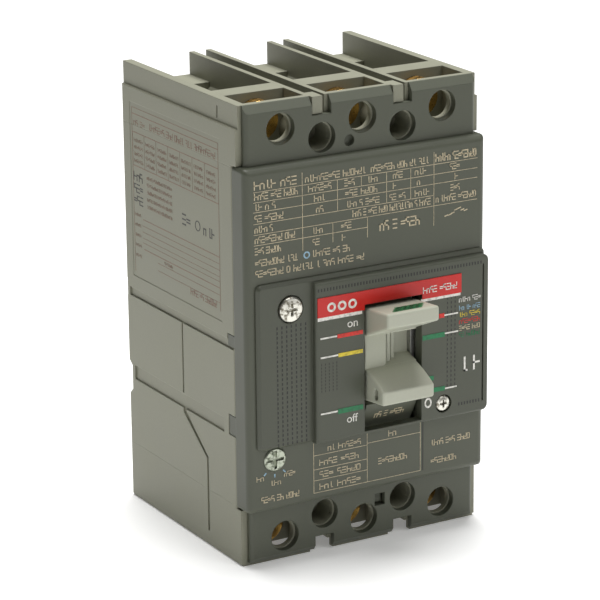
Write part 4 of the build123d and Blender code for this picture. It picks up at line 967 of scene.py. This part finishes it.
# ---------------------------------------------------------------- studio
@dataclass
class Studio:
    """The floor, the lights and the camera."""

    camera_place: tuple[float, float, float] = (-0.39989, -0.72788, 0.24301)
    azimuth: float = -29.943
    elevation: float = 17.057
    roll: float = -0.572
    lens: float = 176.74
    floor_level: float = CAD_BOX[0].z
    lights: tuple[tuple[str, float, float, float, float, float], ...] = (
        ("key", 24.0, 46.0, 1.5, 0.8, 5.0), ("fill", -78.0, 30.0, 1.6, 1.1, 0.1),
        ("top", 158.0, 80.0, 1.4, 0.9, 30.0))
    floor_glow: float = 0.22
    sky_strength: float = 0.09

    def build(self) -> None:
        """Makes the stage."""
        self.floor()
        self.lamps()
        self.camera()

    def floor(self) -> None:
        """Lays the pale floor."""
        shape = bmesh.new()
        bmesh.ops.create_grid(shape, x_segments=2, y_segments=2, size=6.0,
                              matrix=Matrix.Translation((0, 0, self.floor_level)))
        mesh = bpy.data.meshes.new("floor")
        shape.to_mesh(mesh)
        shape.free()
        graph = Graph("floor_paper")
        tone = graph.mix(graph.noise(9.0, 3.0), (0.9, 0.9, 0.89, 1), (0.93, 0.93, 0.925, 1))
        fixed = {"Roughness": 0.85, "Specular IOR Level": 0.1, "Emission Strength": self.floor_glow}
        mesh.materials.append(graph.finish(fixed, {"Base Color": tone, "Emission Color": tone}))
        floor = bpy.data.objects.new("floor", mesh)
        bpy.context.scene.collection.objects.link(floor)

    def lamps(self) -> None:
        """Hangs the soft lights and sets the sky."""
        centre = (CAD_BOX[0] + CAD_BOX[1]) / 2
        for name, around, above, away, size, power in self.lights:
            data = bpy.data.lights.new(name, "AREA")
            data.shape = "DISK"
            data.size = size
            data.energy = power
            lamp = bpy.data.objects.new(name, data)
            a, e = math.radians(around), math.radians(above)
            back = Vector((math.sin(a) * math.cos(e), -math.cos(a) * math.cos(e), math.sin(e)))
            lamp.location = centre + back * away
            lamp.rotation_euler = (-back).to_track_quat("-Z", "Y").to_euler()
            bpy.context.scene.collection.objects.link(lamp)
        world = bpy.data.worlds.new("sky")
        world.use_nodes = True
        sky = world.node_tree.nodes["Background"]
        sky.inputs[0].default_value = (1.0, 0.995, 0.98, 1)
        sky.inputs[1].default_value = self.sky_strength
        bpy.context.scene.world = world
        bpy.context.scene.view_settings.view_transform = "Standard"

    def camera(self) -> None:
        """Sets the camera."""
        a, e, r = (math.radians(turn) for turn in (self.azimuth, self.elevation, self.roll))
        back = Vector((math.sin(a) * math.cos(e), -math.cos(a) * math.cos(e), math.sin(e)))
        right = Vector((0, 0, 1)).cross(back).normalized()
        up = back.cross(right)
        across = right * math.cos(r) + up * math.sin(r)
        upward = up * math.cos(r) - right * math.sin(r)
        data = bpy.data.cameras.new("camera")
        data.lens = self.lens
        data.clip_start = 0.05
        camera = bpy.data.objects.new("camera", data)
        turn = Matrix((across, upward, back)).transposed().to_4x4()
        camera.matrix_world = Matrix.Translation(self.camera_place) @ turn
        bpy.context.scene.collection.objects.link(camera)
        bpy.context.scene.camera = camera


def main() -> None:
    """Builds the breaker's looks in order."""
    logging.basicConfig(level=logging.INFO, format="%(message)s")
    finishes = Finishes()
    InnerWorks(finishes).dress()
    case = CaseShell(finishes)
    case.dress()
    case.side_print()
    covers = FrontCovers(finishes)
    covers.dress()
    covers.tables()
    plate = FrontPlate(finishes)
    plate.dress()
    plate.textures()
    plate.position_marks()
    plate.words()
    grip = ToggleGrip(finishes)
    grip.dress()
    grip.bar_print()
    grip.apron_print()
    screws = Screws(finishes)
    screws.front_screws()
    screws.clamp_screws()
    Studio().build()


if __name__ == "__main__":
    main()
